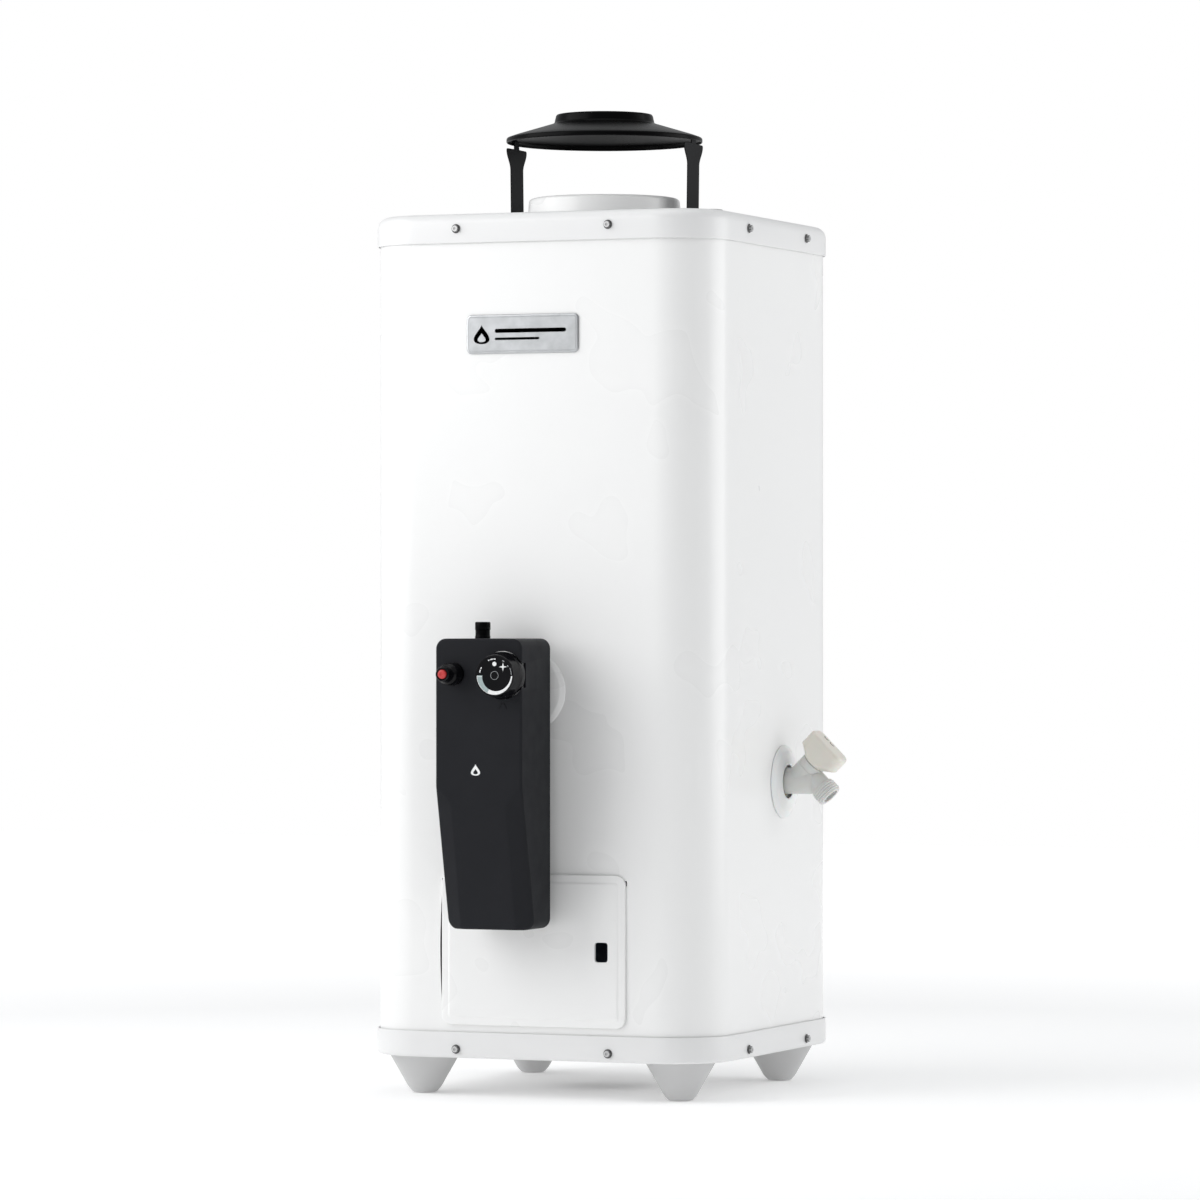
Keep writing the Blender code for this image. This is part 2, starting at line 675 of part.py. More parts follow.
def make_hood_leg(name, side, root):
    """A flat strap that stands on the cap and holds the hood on a narrow tab."""
    base = TOP_CAP_TOP + GAP
    lean = (LEG_X_HIGH - LEG_X_LOW) / (LEG_TAB_TOP - base)
    half = leg_outline(base)
    outline = half + [(-y, z) for y, z in reversed(half)]
    bm = bmesh.new()
    loft(bm, [[(side * (LEG_X_LOW + lean * (z - base) + depth), y, z) for y, z in outline]
              for depth in (0.0, LEG_SKIN)])
    leg = solid(name, bm, "black_enamel", root)
    near = side * (LEG_X_LOW + LEG_SKIN / 2)
    far = side * (LEG_X_LOW + LEG_SKIN + LEG_FOOT_LENGTH)
    width = LEG_HALF_WIDTH * 0.8
    foot = box((min(near, far), -width, base), (max(near, far), width, base + LEG_SKIN))
    boolean(leg, cutter(f"add_{name}_foot", foot, root), "UNION")


# ------------------------------------------------------------------ tank and flue

def make_tank_shell(root):
    inner = TANK_RADIUS - TANK_WALL
    profile = [(TANK_RADIUS, TANK_BOTTOM), (TANK_RADIUS, TANK_TOP), (inner, TANK_TOP),
               (inner, TANK_BOTTOM)]
    tank = solid("tank_shell", turned(profile, 32, closed=True), "tank_steel", root)
    cuts = box((-TANK_ACCESS_HALF_WIDTH, -TANK_RADIUS - 0.01, ACCESS_BOTTOM),
               (TANK_ACCESS_HALF_WIDTH, -0.09, TANK_ACCESS_TOP))
    add_rod(cuts, (SHANK_X, -TANK_RADIUS - 0.01, SHANK_Z), (SHANK_X, -TANK_RADIUS + 0.01, SHANK_Z),
            SHANK_RADIUS + 0.0005, 16)
    add_rod(cuts, (TANK_RADIUS - 0.01, DRAIN_Y, DRAIN_Z), (TANK_RADIUS + 0.01, DRAIN_Y, DRAIN_Z),
            DRAIN_SHANK_RADIUS + 0.0005, 16)
    boolean(tank, cutter("cut_tank_openings", cuts, root))


def head_profile(base):
    """A dished head with a straight flange below it and a hole for the flue."""
    radius = TANK_RADIUS - TANK_WALL - GAP
    hole = FLUE_RADIUS + GAP
    steps = 3
    outside = [(radius, base)]
    inside = [(radius - TANK_WALL, base)]
    for step in range(steps + 1):
        share = step / steps
        r = radius + (hole - radius) * share
        rise = HEAD_FLANGE + HEAD_RISE * math.sin(math.radians(90.0) * share)
        outside.append((r, base + rise))
        inside.append((r if step == steps else r - TANK_WALL * (1 - share), base + rise - TANK_WALL))
    return outside + list(reversed(inside))


def make_heads(root):
    bottom = solid("tank_bottom_head", turned(head_profile(BOTTOM_HEAD_Z), 32, closed=True),
                   "tank_steel", root)
    top = solid("tank_top_head", turned(head_profile(TOP_HEAD_Z), 32, closed=True),
                "tank_steel", root)
    cuts = rod((ANODE_X, ANODE_Y, TOP_HEAD_Z), (ANODE_X, ANODE_Y, TOP_HEAD_Z + 0.06),
               ANODE_RADIUS + 0.0005, 12)
    for side in (-1, 1):
        add_rod(cuts, (side * NIPPLE_X, NIPPLE_Y, TOP_HEAD_Z), (side * NIPPLE_X, NIPPLE_Y, TOP_HEAD_Z + 0.06),
                NIPPLE_RADIUS + GAP, 16)
    boolean(top, cutter("cut_top_head_holes", cuts, root))
    return bottom


def make_flue(root):
    inner = FLUE_RADIUS - FLUE_WALL
    profile = [(FLUE_RADIUS, FLUE_BOTTOM), (FLUE_RADIUS, FLUE_TOP), (inner, FLUE_TOP),
               (inner, FLUE_BOTTOM)]
    solid("flue_tube", turned(profile, 24, closed=True), "tank_steel", root)


def make_baffle(root):
    """A twisted strip that slows the hot gas in the flue."""
    steps = 24
    half = BAFFLE_WIDTH / 2
    thin = BAFFLE_THICKNESS / 2
    bm = bmesh.new()
    rings = []
    for step in range(steps + 1):
        share = step / steps
        turn = Matrix.Rotation(2 * math.pi * BAFFLE_TURNS * share, 3, "Z")
        z = BAFFLE_BOTTOM + (BAFFLE_TOP - BAFFLE_BOTTOM) * share
        corners = ((half, thin), (-half, thin), (-half, -thin), (half, -thin))
        rings.append([bm.verts.new(turn @ Vector((x, y, z))) for x, y in corners])
    for low, high in zip(rings, rings[1:]):
        # the two wide faces are split along matching diagonals, so the strip keeps its thickness
        for near, far in ((0, 1), (3, 2)):
            bm.faces.new((low[near], low[far], high[far]))
            bm.faces.new((low[near], high[far], high[near]))
        bm.faces.new((low[1], low[2], high[2], high[1]))
        bm.faces.new((low[3], low[0], high[0], high[3]))
    bm.faces.new(list(reversed(rings[0])))
    bm.faces.new(rings[-1])
    solid("flue_baffle", bm, "tank_steel", root)


def make_insulation(root):
    """Foam between the tank and the jacket, closed over the tank's top."""
    outline = jacket_outline(JACKET_SKIN + 0.0005)
    bm = bmesh.new()
    loft(bm, [at_height(outline, INSULATION_BOTTOM), at_height(outline, INSULATION_TOP)])
    foam = solid("insulation", bm, "foam", root)
    bore = rod((0, 0, INSULATION_BOTTOM - 0.01), (0, 0, INSULATION_CEILING), TANK_RADIUS + 0.0005, 32)
    boolean(foam, cutter("cut_tank_bore", bore, root))
    cuts = rod((0, 0, INSULATION_CEILING - 0.01), (0, 0, INSULATION_TOP + 0.01),
               FLUE_RADIUS + 0.0005, 24)
    for side in (-1, 1):
        add_rod(cuts, (side * NIPPLE_X, NIPPLE_Y, INSULATION_CEILING - 0.01),
                (side * NIPPLE_X, NIPPLE_Y, INSULATION_TOP + 0.01), NIPPLE_RADIUS + 0.0005, 16)
    add_rod(cuts, (SHANK_X, -JACKET_HALF - 0.005, SHANK_Z), (SHANK_X, -0.10, SHANK_Z),
            SHANK_RADIUS + 0.0008, 16)
    add_rod(cuts, (0.10, DRAIN_Y, DRAIN_Z), (JACKET_HALF + 0.005, DRAIN_Y, DRAIN_Z),
            DRAIN_SHANK_RADIUS + 0.0008, 16)
    boolean(foam, cutter("cut_foam_holes", cuts, root))


def make_water_fittings(root):
    steps = 20
    ring = [(RING_RADIUS, 0.0), (RING_RADIUS, RING_HEIGHT), (NIPPLE_RADIUS + 0.0005, RING_HEIGHT),
            (NIPPLE_RADIUS + 0.0005, 0.0)]
    nipple = [(NIPPLE_RADIUS, NIPPLE_BOTTOM), (NIPPLE_RADIUS, NIPPLE_TOP), (NIPPLE_BORE, NIPPLE_TOP),
              (NIPPLE_BORE, NIPPLE_BOTTOM)]
    for side, word, finish in ((-1, "hot", "red_plastic"), (1, "cold", "blue_plastic")):
        spot = (side * NIPPLE_X, NIPPLE_Y, 0.0)
        solid(f"{word}_nipple", turned(nipple, steps, closed=True), "zinc_steel", root, spot)
        solid(f"{word}_ring", turned(ring, steps, closed=True), finish, root,
              (spot[0], spot[1], TOP_CAP_TOP + GAP))
    tube = [(DIP_TUBE_RADIUS, DIP_TUBE_BOTTOM), (DIP_TUBE_RADIUS, DIP_TUBE_TOP),
            (DIP_TUBE_BORE, DIP_TUBE_TOP), (DIP_TUBE_BORE, DIP_TUBE_BOTTOM)]
    solid("dip_tube", turned(tube, 16, closed=True), "dip_plastic", root, (NIPPLE_X, NIPPLE_Y, 0.0))


def make_anode(root):
    top = ANODE_HEAD_Z + ANODE_HEAD_HEIGHT
    profile = [(ANODE_RADIUS, ANODE_BOTTOM), (ANODE_RADIUS, ANODE_HEAD_Z),
               (ANODE_HEAD_RADIUS, ANODE_HEAD_Z), (ANODE_HEAD_RADIUS, top)]
    solid("anode_rod", turned(profile, 12), "magnesium", root, (ANODE_X, ANODE_Y, 0.0))


# ------------------------------------------------------------------ gas control

def cover_depth(x, z):
    """How far the cover's front lies behind its flat upper face at this place."""
    middle = (COVER_LEFT + COVER_RIGHT) / 2
    half = (COVER_RIGHT - COVER_LEFT) / 2
    edge = max(0.0, abs(x - middle) - (half - COVER_FACET_WIDTH)) / COVER_FACET_WIDTH
    centre_drop = max(0.0, COVER_FOLD_CENTRE_Z - z) / (COVER_FOLD_CENTRE_Z - COVER_BOTTOM)
    side_drop = max(0.0, COVER_FOLD_SIDE_Z - z) / (COVER_FOLD_SIDE_Z - COVER_BOTTOM)
    centre = COVER_CENTRE_SLOPE * centre_drop
    side = COVER_SIDE_SLOPE * side_drop
    return centre + (side - centre) * min(1.0, edge)


def cover_outline(inset):
    """The cover's front outline in X and Z, with points where its facets start."""
    middle_x = (COVER_LEFT + COVER_RIGHT) / 2
    middle_z = (COVER_BOTTOM + COVER_TOP) / 2
    width = COVER_RIGHT - COVER_LEFT - 2 * inset
    height = COVER_TOP - COVER_BOTTOM - 2 * inset
    shape = rounded_outline(width, height, COVER_RADIUS - inset, 4)
    points = [(x + middle_x, z + middle_z) for x, z in shape]
    left_side = (points[9][0], COVER_FOLD_SIDE_Z)
    right_side = (points[0][0], COVER_FOLD_SIDE_Z)
    facet = (COVER_RIGHT - COVER_LEFT) / 2 - COVER_FACET_WIDTH
    bottom = points[14][1]
    bottom_left = (middle_x - facet, bottom)
    bottom_right = (middle_x + facet, bottom)
    return (points[0:10] + [left_side] + points[10:15] + [bottom_left, bottom_right]
            + points[15:20] + [right_side])


def cover_skin(bm, inset, edge, wall):
    """One skin of the cover: its side wall and its faceted front; gives back the rear ring."""
    middle_x = (COVER_LEFT + COVER_RIGHT) / 2
    facet = (COVER_RIGHT - COVER_LEFT) / 2 - COVER_FACET_WIDTH
    outer = cover_outline(inset)
    rear = [bm.verts.new((x, COVER_BACK, z)) for x, z in outer]
    side = [bm.verts.new((x, COVER_FRONT + wall + edge + cover_depth(x, z), z)) for x, z in outer]
    if edge:
        inner = cover_outline(inset + edge)
        front = [bm.verts.new((x, COVER_FRONT + wall + cover_depth(x, z), z)) for x, z in inner]
    else:
        front = side
    count = len(outer)
    for low, high in ((rear, side), (side, front)):
        if low is high:
            continue
        for i in range(count):
            j = (i + 1) % count
            bm.faces.new((low[i], low[j], high[j], high[i]))
    fold_y = COVER_FRONT + wall
    fold_left = bm.verts.new((middle_x - facet, fold_y, COVER_FOLD_CENTRE_Z))
    fold_right = bm.verts.new((middle_x + facet, fold_y, COVER_FOLD_CENTRE_Z))
    side_left, bottom_left, bottom_right, side_right = 10, 16, 17, 23
    bm.faces.new([front[side_right]] + front[0:side_left + 1] + [fold_left, fold_right])
    bm.faces.new([fold_left, front[bottom_left], front[bottom_right], fold_right])
    for i in range(side_left, bottom_left):
        bm.faces.new((fold_left, front[i], front[i + 1]))
    for i in range(bottom_right, side_right):
        bm.faces.new((fold_right, front[i], front[i + 1]))
    return rear


def make_cover(root):
    """A plastic shell, open at the back, whose lower front slopes back between two facets."""
    bm = bmesh.new()
    outer = cover_skin(bm, 0.0, COVER_EDGE, 0.0)
    inner = cover_skin(bm, COVER_WALL, 0.0, COVER_WALL)
    count = len(outer)
    for i in range(count):
        j = (i + 1) % count
        bm.faces.new((outer[i], outer[j], inner[j], inner[i]))
    cover = solid("control_cover", bm, "control_plastic", root)
    cuts = rod((DIAL_X, COVER_FRONT - 0.01, DIAL_Z), (DIAL_X, COVER_FRONT + 0.01, DIAL_Z),
               DIAL_HOLE_RADIUS, 28)
    add_rod(cuts, (IGNITER_X, COVER_FRONT - 0.01, IGNITER_Z),
            (IGNITER_X, COVER_FRONT + 0.01, IGNITER_Z), IGNITER_HOLE_RADIUS, 20)
    add_rod(cuts, (INLET_X, INLET_Y, COVER_TOP - 0.01), (INLET_X, INLET_Y, COVER_TOP + 0.01),
            INLET_HOLE_RADIUS, 16)
    boolean(cover, cutter("cut_cover_holes", cuts, root))


def make_valve(root):
    body = box((VALVE_LEFT, VALVE_FRONT, VALVE_BOTTOM), (VALVE_RIGHT, VALVE_BACK, VALVE_TOP))
    bmesh.ops.bevel(body, geom=body.edges, offset=0.003, segments=1, affect="EDGES")
    valve = solid("gas_valve_body", body, "cast_aluminium", root)
    shank = rod((SHANK_X, VALVE_BACK - 0.005, SHANK_Z), (SHANK_X, SHANK_END_Y, SHANK_Z),
                SHANK_RADIUS, 20)
    boolean(valve, cutter("add_valve_shank", shank, root), "UNION")
    solid("thermostat_probe", rod((SHANK_X, SHANK_END_Y + GAP, SHANK_Z), (SHANK_X, PROBE_END_Y, SHANK_Z),
                                  PROBE_RADIUS, 12), "brass", root)


def dished_ring(radius, bore, height, skin):
    """A trim ring whose rim touches the wall and whose middle stands proud of it."""
    middle = (radius + bore) / 2
    return [(radius, GAP), (radius - 0.0012, GAP + skin), (middle, height * 0.75), (bore + 0.001, height),
            (bore, height - skin * 0.4), (middle, height * 0.75 - skin), (radius - 0.0025, GAP)]


def make_escutcheons(root):
    ring = dished_ring(ESCUTCHEON_RADIUS, ESCUTCHEON_BORE, ESCUTCHEON_HEIGHT, ESCUTCHEON_SKIN)
    solid("control_escutcheon", turned(ring, 28, closed=True), "white_enamel", root,
          (SHANK_X, -JACKET_HALF, SHANK_Z), FRONT_TURN)
    plate = dished_ring(DRAIN_PLATE_RADIUS, DRAIN_PLATE_BORE, DRAIN_PLATE_HEIGHT, ESCUTCHEON_SKIN)
    solid("drain_escutcheon", turned(plate, 28, closed=True), "ivory_plastic", root,
          (JACKET_HALF, DRAIN_Y, DRAIN_PLATE_Z), RIGHT_TURN)


def make_dial(root):
    """The dial and its shaft turn together; the dial also slides back on the shaft."""
    centre = (DIAL_X, COVER_FRONT, DIAL_Z)
    profile = [(DIAL_BORE, DIAL_BORE_DEPTH), (DIAL_BORE, DIAL_BACK), (DIAL_BASE_RADIUS, DIAL_BACK),
               (DIAL_BASE_RADIUS, DIAL_HEIGHT * 0.3), (DIAL_FACE_RADIUS, DIAL_HEIGHT - 0.001),
               (DIAL_FACE_RADIUS - 0.001, DIAL_HEIGHT)]
    solid("temperature_dial", turned(profile, 32), "dial_plastic", root, centre, FRONT_TURN)
    stem_bottom = COVER_FRONT - VALVE_FRONT + GAP
    stem = [(STEM_RADIUS, stem_bottom), (STEM_RADIUS, STEM_TIP)]
    solid("dial_shaft", turned(stem, 16), "brass", root, centre, FRONT_TURN)


def make_igniter(root):
    centre = (IGNITER_X, COVER_FRONT, IGNITER_Z)
    profile = [(IGNITER_BORE, IGNITER_BORE_BOTTOM), (IGNITER_BORE, IGNITER_LENGTH),
               (IGNITER_NECK_RADIUS, IGNITER_LENGTH), (IGNITER_NECK_RADIUS, IGNITER_SHOULDER + 0.001),
               (IGNITER_RADIUS, IGNITER_SHOULDER - 0.001), (IGNITER_RADIUS, IGNITER_BACK)]
    solid("igniter_body", turned(profile, 20), "dial_plastic", root, centre, FRONT_TURN)
    button = [(BUTTON_RADIUS, BUTTON_BOTTOM), (BUTTON_RADIUS, BUTTON_TOP - 0.001),
              (BUTTON_RADIUS - 0.001, BUTTON_TOP)]
    solid("igniter_button", turned(button, 16), "red_plastic", root, centre, FRONT_TURN)


def make_gas_inlet(root):
    profile = [(INLET_RADIUS, VALVE_TOP + GAP), (INLET_RADIUS, INLET_TOP), (INLET_BORE, INLET_TOP),
               (INLET_BORE, VALVE_TOP + GAP)]
    solid("gas_inlet", turned(profile, 16, closed=True), "black_enamel", root, (INLET_X, INLET_Y, 0.0))


# ------------------------------------------------------------------ burner

def rounded_route(corners, bend, steps=4):
    """A route through these corners with each inner corner turned on an arc."""
    points = [Vector(corners[0])]
    for before, corner, after in zip(corners, corners[1:], corners[2:]):
        corner = Vector(corner)
        back = (Vector(before) - corner).normalized()
        ahead = (Vector(after) - corner).normalized()
        centre = corner + (back + ahead) * bend
        points += [centre - ahead.slerp(back, step / steps) * bend for step in range(steps + 1)]
    points.append(Vector(corners[-1]))
    return points


def make_tube(name, corners, radius, finish, root):
    curve = bpy.data.curves.new(name, "CURVE")
    curve.dimensions = "3D"
    curve.bevel_depth = radius
    curve.bevel_resolution = 2
    curve.use_fill_caps = True
    points = rounded_route(corners, TUBE_BEND)
    spline = curve.splines.new("POLY")
    spline.points.add(len(points) - 1)
    for slot, point in zip(spline.points, points):
        slot.co = (*point, 1.0)
    curve.materials.append(finish_of(finish))
    place(name, curve, root)


def make_gas_tubes(root):
    start = VALVE_BOTTOM - GAP
    make_tube("burner_gas_tube", [(0, -0.226, start), (0, -0.226, 0.2265), (0, -0.102, 0.2265),
                                  (0, -0.102, 0.080), (0, -BURNER_CUP_RADIUS - 0.0006, 0.080)],
              BURNER_TUBE_RADIUS, "cast_aluminium", root)
    plate = PILOT_PLATE_LOW[1] - GAP
    make_tube("pilot_gas_tube", [(-0.014, -0.224, start), (-0.014, -0.224, 0.2275),
                                 (-0.014, -0.104, 0.2275), (-0.014, -0.104, 0.117),
                                 (-0.014, plate, 0.117)], PILOT_TUBE_RADIUS, "cast_aluminium", root)
    make_tube("thermocouple", [(-0.024, -0.222, start), (-0.024, -0.222, 0.2275),
                               (-0.024, -0.106, 0.2275), (-0.024, -0.106, 0.110),
                               (-0.024, plate, 0.110)], THERMOCOUPLE_RADIUS, "brass", root)


def make_burner(root):
    cup = BURNER_CUP_RADIUS
    head = BURNER_HEAD_RADIUS
    profile = [(cup - 0.003, BURNER_TOP - 0.020), (cup - 0.003, BURNER_BOTTOM), (cup, BURNER_BOTTOM),
               (cup, BURNER_BOTTOM + 0.014), (head * 0.85, BURNER_TOP - 0.012),
               (head, BURNER_TOP - 0.008), (head, BURNER_TOP - 0.004), (head * 0.8, BURNER_TOP)]
    solid("main_burner", turned(profile, 24), "cast_aluminium", root)
    solid("pilot_burner", box(PILOT_PLATE_LOW, PILOT_PLATE_HIGH), "zinc_steel", root)
    low = BOTTOM_CAP_BOTTOM + CAP_SKIN + GAP
    top = BURNER_BOTTOM - GAP
    sheet = BRACKET_SHEET
    width = BRACKET_HALF_WIDTH
    toe = width + 0.012
    half = [(width - sheet, top - sheet), (width - sheet, low), (toe, low), (toe, low + sheet),
            (width, low + sheet), (width, top)]
    outline = half + [(-x, z) for x, z in reversed(half)]
    bm = bmesh.new()
    loft(bm, [[(x, y, z) for x, z in outline] for y in (-BRACKET_HALF_DEPTH, BRACKET_HALF_DEPTH)])
    solid("burner_bracket", bm, "zinc_steel", root)


# ------------------------------------------------------------------ drain valve

def make_drain_body(root):
    shank = rod((DRAIN_SHANK_START, DRAIN_Y, DRAIN_Z), (DRAIN_SHANK_END, DRAIN_Y, DRAIN_Z),
                DRAIN_SHANK_RADIUS, 20)
    body = solid("drain_valve_body", shank, "ivory_plastic", root)
    neck = OUTLET_NECK_RADIUS
    profile = [(neck - 0.0035, OUTLET_BACK), (neck, OUTLET_BACK + 0.0035), (neck, 0.0075),
               (OUTLET_RADIUS, 0.0095), (OUTLET_RADIUS, OUTLET_LENGTH - 0.001),
               (OUTLET_RADIUS - 0.001, OUTLET_LENGTH)]
    outlet = cutter("add_drain_outlet", turned(profile, 20), root,
                    drain_point(OUTLET_START_X, OUTLET_ANGLE, 0.0), slanted_turn(OUTLET_ANGLE))
    bonnet = rod(drain_point(BONNET_START_X, BONNET_ANGLE, 0.0),
                 drain_point(BONNET_START_X, BONNET_ANGLE, BONNET_LENGTH), BONNET_RADIUS, 20)
    boolean(body, outlet, "UNION")
    boolean(body, cutter("add_drain_bonnet", bonnet, root), "UNION")
    inlet_bore = rod((DRAIN_SHANK_START - 0.005, DRAIN_Y, DRAIN_Z), (DRAIN_BORE_END, DRAIN_Y, DRAIN_Z),
                     DRAIN_BORE, 14)
    outlet_bore = rod(drain_point(OUTLET_START_X, OUTLET_ANGLE, -0.004),
                      drain_point(OUTLET_START_X, OUTLET_ANGLE, OUTLET_LENGTH + 0.005), OUTLET_BORE, 16)
    stem_bore = rod(drain_point(BONNET_START_X, BONNET_ANGLE, BONNET_BORE_BOTTOM),
                    drain_point(BONNET_START_X, BONNET_ANGLE, BONNET_LENGTH + 0.005), BONNET_BORE, 12)
    boolean(body, cutter("cut_drain_inlet", inlet_bore, root))
    boolean(body, cutter("cut_drain_outlet", outlet_bore, root))
    boolean(body, cutter("cut_drain_stem", stem_bore, root))


def make_drain_handle(root):
    """The handle turns on the bonnet's axis, and it rises with the stem as it opens."""
    origin = drain_point(BONNET_START_X, BONNET_ANGLE, 0.0)
    tilt = slanted_turn(BONNET_ANGLE)
    stem = [(DRAIN_STEM_RADIUS, DRAIN_STEM_BOTTOM), (DRAIN_STEM_RADIUS, DRAIN_STEM_TOP)]
    solid("drain_stem", turned(stem, 12), "brass", root, origin, tilt)
    outline = rounded_outline(HANDLE_LENGTH, HANDLE_WIDTH, HANDLE_CORNER, 5)
    inset = rounded_outline(HANDLE_LENGTH - 2 * HANDLE_EDGE, HANDLE_WIDTH - 2 * HANDLE_EDGE,
                            HANDLE_CORNER - HANDLE_EDGE, 5)
    angles = [2 * math.pi * (i + 0.5) / len(outline) for i in range(len(outline))]
    bore = [(HANDLE_BORE * math.cos(a), HANDLE_BORE * math.sin(a)) for a in angles]
    collar = [(BONNET_RADIUS * math.cos(a), BONNET_RADIUS * math.sin(a)) for a in angles]
    bm = bmesh.new()
    loft(bm, [at_height(bore, HANDLE_BORE_TOP), at_height(bore, HANDLE_BOTTOM),
              at_height(collar, HANDLE_BOTTOM), at_height(outline, HANDLE_SKIRT_TOP),
              at_height(outline, HANDLE_TOP - HANDLE_EDGE), at_height(inset, HANDLE_TOP)])
    solid("drain_handle", bm, "ivory_plastic", root, origin, tilt)


# ------------------------------------------------------------------ assembly

def centre_on_floor(root):
    """Move the root so that the origin is the bottom centre of the whole object's box."""
    bpy.context.view_layer.update()
    depsgraph = bpy.context.evaluated_depsgraph_get()
    lows = [math.inf] * 3
    highs = [-math.inf] * 3
    for obj in root.children:
        if obj.hide_render:
            continue
        evaluated = obj.evaluated_get(depsgraph)
        mesh = evaluated.to_mesh()
        for vertex in mesh.vertices:
            point = evaluated.matrix_world @ vertex.co
            lows = [min(a, b) for a, b in zip(lows, point)]
            highs = [max(a, b) for a, b in zip(highs, point)]
        evaluated.to_mesh_clear()
    root.location = (-(lows[0] + highs[0]) / 2, -(lows[1] + highs[1]) / 2, -lows[2])


def build():
    clear_scene()
    root = bpy.data.objects.new("water_heater", None)
    bpy.context.scene.collection.objects.link(root)
    screw_holes = screw_hole_cutter(root)
    make_jacket(root, screw_holes)
    make_top_cap(root, screw_holes)
    make_bottom_cap(root, screw_holes)
    make_screws(root)
    make_feet(root)
    make_badge(root)
    make_door(root)
    make_collar(root)
    make_hood(root)
    make_hood_leg("hood_leg_left", -1, root)
    make_hood_leg("hood_leg_right", 1, root)
    make_tank_shell(root)
    make_heads(root)
    make_flue(root)
    make_baffle(root)
    make_insulation(root)
    make_water_fittings(root)
    make_anode(root)
    make_cover(root)
    make_valve(root)
    make_escutcheons(root)
    make_dial(root)
    make_igniter(root)
    make_gas_inlet(root)
    make_gas_tubes(root)
    make_burner(root)
    make_drain_body(root)
    make_drain_handle(root)
    centre_on_floor(root)


build()
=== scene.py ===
import math

import bmesh
import bpy
from mathutils import Matrix, Vector


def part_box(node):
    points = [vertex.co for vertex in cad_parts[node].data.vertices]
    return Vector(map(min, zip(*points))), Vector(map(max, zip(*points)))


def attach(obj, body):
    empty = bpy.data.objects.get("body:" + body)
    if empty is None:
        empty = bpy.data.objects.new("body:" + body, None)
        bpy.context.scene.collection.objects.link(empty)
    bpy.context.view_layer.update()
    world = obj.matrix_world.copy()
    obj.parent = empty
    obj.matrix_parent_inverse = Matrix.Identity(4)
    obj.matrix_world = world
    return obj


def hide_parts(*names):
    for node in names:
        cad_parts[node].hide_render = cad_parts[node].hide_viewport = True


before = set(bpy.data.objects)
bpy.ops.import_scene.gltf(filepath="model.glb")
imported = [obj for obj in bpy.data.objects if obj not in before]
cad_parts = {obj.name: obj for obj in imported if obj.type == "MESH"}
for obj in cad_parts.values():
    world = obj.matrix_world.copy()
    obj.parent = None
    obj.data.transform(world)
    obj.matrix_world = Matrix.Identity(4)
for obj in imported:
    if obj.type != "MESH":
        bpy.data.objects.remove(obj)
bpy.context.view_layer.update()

# ------------------------------------------------------------------ places taken from the frame


def middle(node):
    low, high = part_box(node)
    return (Vector(low) + Vector(high)) / 2


def low_of(node):
    return Vector(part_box(node)[0])


def high_of(node):
    return Vector(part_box(node)[1])


def heights(node):
    return low_of(node).z, high_of(node).z


JACKET_LOW = low_of("outer_jacket")
JACKET_HIGH = high_of("outer_jacket")
AXIS = Vector(((JACKET_LOW.x + JACKET_HIGH.x) / 2, (JACKET_LOW.y + JACKET_HIGH.y) / 2, 0.0))
JACKET_SIZE = JACKET_HIGH.x - JACKET_LOW.x
JACKET_HALF = JACKET_SIZE / 2
JACKET_RADIUS = 0.057
CAP_SIZE = high_of("top_cap").x - low_of("top_cap").x
CAP_RADIUS = 0.059
FRONT_FACE = JACKET_LOW.y
RIGHT_FACE = JACKET_HIGH.x
QUARTER = math.radians(90.0)
FRONT_TURN = (QUARTER, 0.0, 0.0)      # turns local +Z to the front, -Y
RIGHT_TURN = (0.0, QUARTER, 0.0)      # turns local +Z to the right, +X
GAP = 0.0003                          # air under a piece that sits on the casing
INK = 0.0001                          # how far ink stands above and below its surface

# ------------------------------------------------------------------ shape tools


def polar(radius, angle):
    return radius * math.cos(angle), radius * math.sin(angle)


def rounded_outline(width, height, radius, steps):
    """Points of a rounded rectangle about the origin, counter-clockwise."""
    points = []
    for corner, (sx, sy) in enumerate(((1, 1), (-1, 1), (-1, -1), (1, -1))):
        cx = sx * (width / 2 - radius)
        cy = sy * (height / 2 - radius)
        for step in range(steps + 1):
            x, y = polar(radius, QUARTER * (corner + step / steps))
            points.append((cx + x, cy + y))
    return points


def circle(radius, steps):
    return [polar(radius, 2 * math.pi / steps * i) for i in range(steps)]


def soften(points, radius, steps=3, closed=False):
    """Round each corner of a polyline; a radius of a list goes corner by corner."""
    count = len(points)
    radii = radius if isinstance(radius, (list, tuple)) else [radius] * count
    result = []
    for i, point in enumerate(points):
        if not closed and i in (0, count - 1):
            result.append(tuple(point))
            continue
        here = Vector(point)
        back = Vector(points[i - 1]) - here
        ahead = Vector(points[(i + 1) % count]) - here
        reach = min(radii[i], 0.45 * back.length, 0.45 * ahead.length)
        if reach < 1e-6:
            result.append(tuple(point))
            continue
        first = here + back.normalized() * reach
        last = here + ahead.normalized() * reach
        for step in range(steps + 1):
            t = step / steps
            result.append(tuple(first * (1 - t) ** 2 + here * 2 * t * (1 - t) + last * t * t))
    return result


def loft(bm, rings, closed=False, cap=True):
    """Skin rings of equal point counts; the ends are capped unless the loft closes on itself."""
    loops = [[bm.verts.new(point) for point in ring] for ring in rings]
    count = len(loops[0])
    pairs = list(zip(loops, loops[1:]))
    if closed:
        pairs.append((loops[-1], loops[0]))
    for low, high in pairs:
        for i in range(count):
            j = (i + 1) % count
            bm.faces.new((low[i], low[j], high[j], high[i]))
    if cap and not closed:
        bm.faces.new(list(reversed(loops[0])))
        bm.faces.new(loops[-1])
    return loops


def lofted(rings, closed=False):
    bm = bmesh.new()
    loft(bm, rings, closed)
    return bm


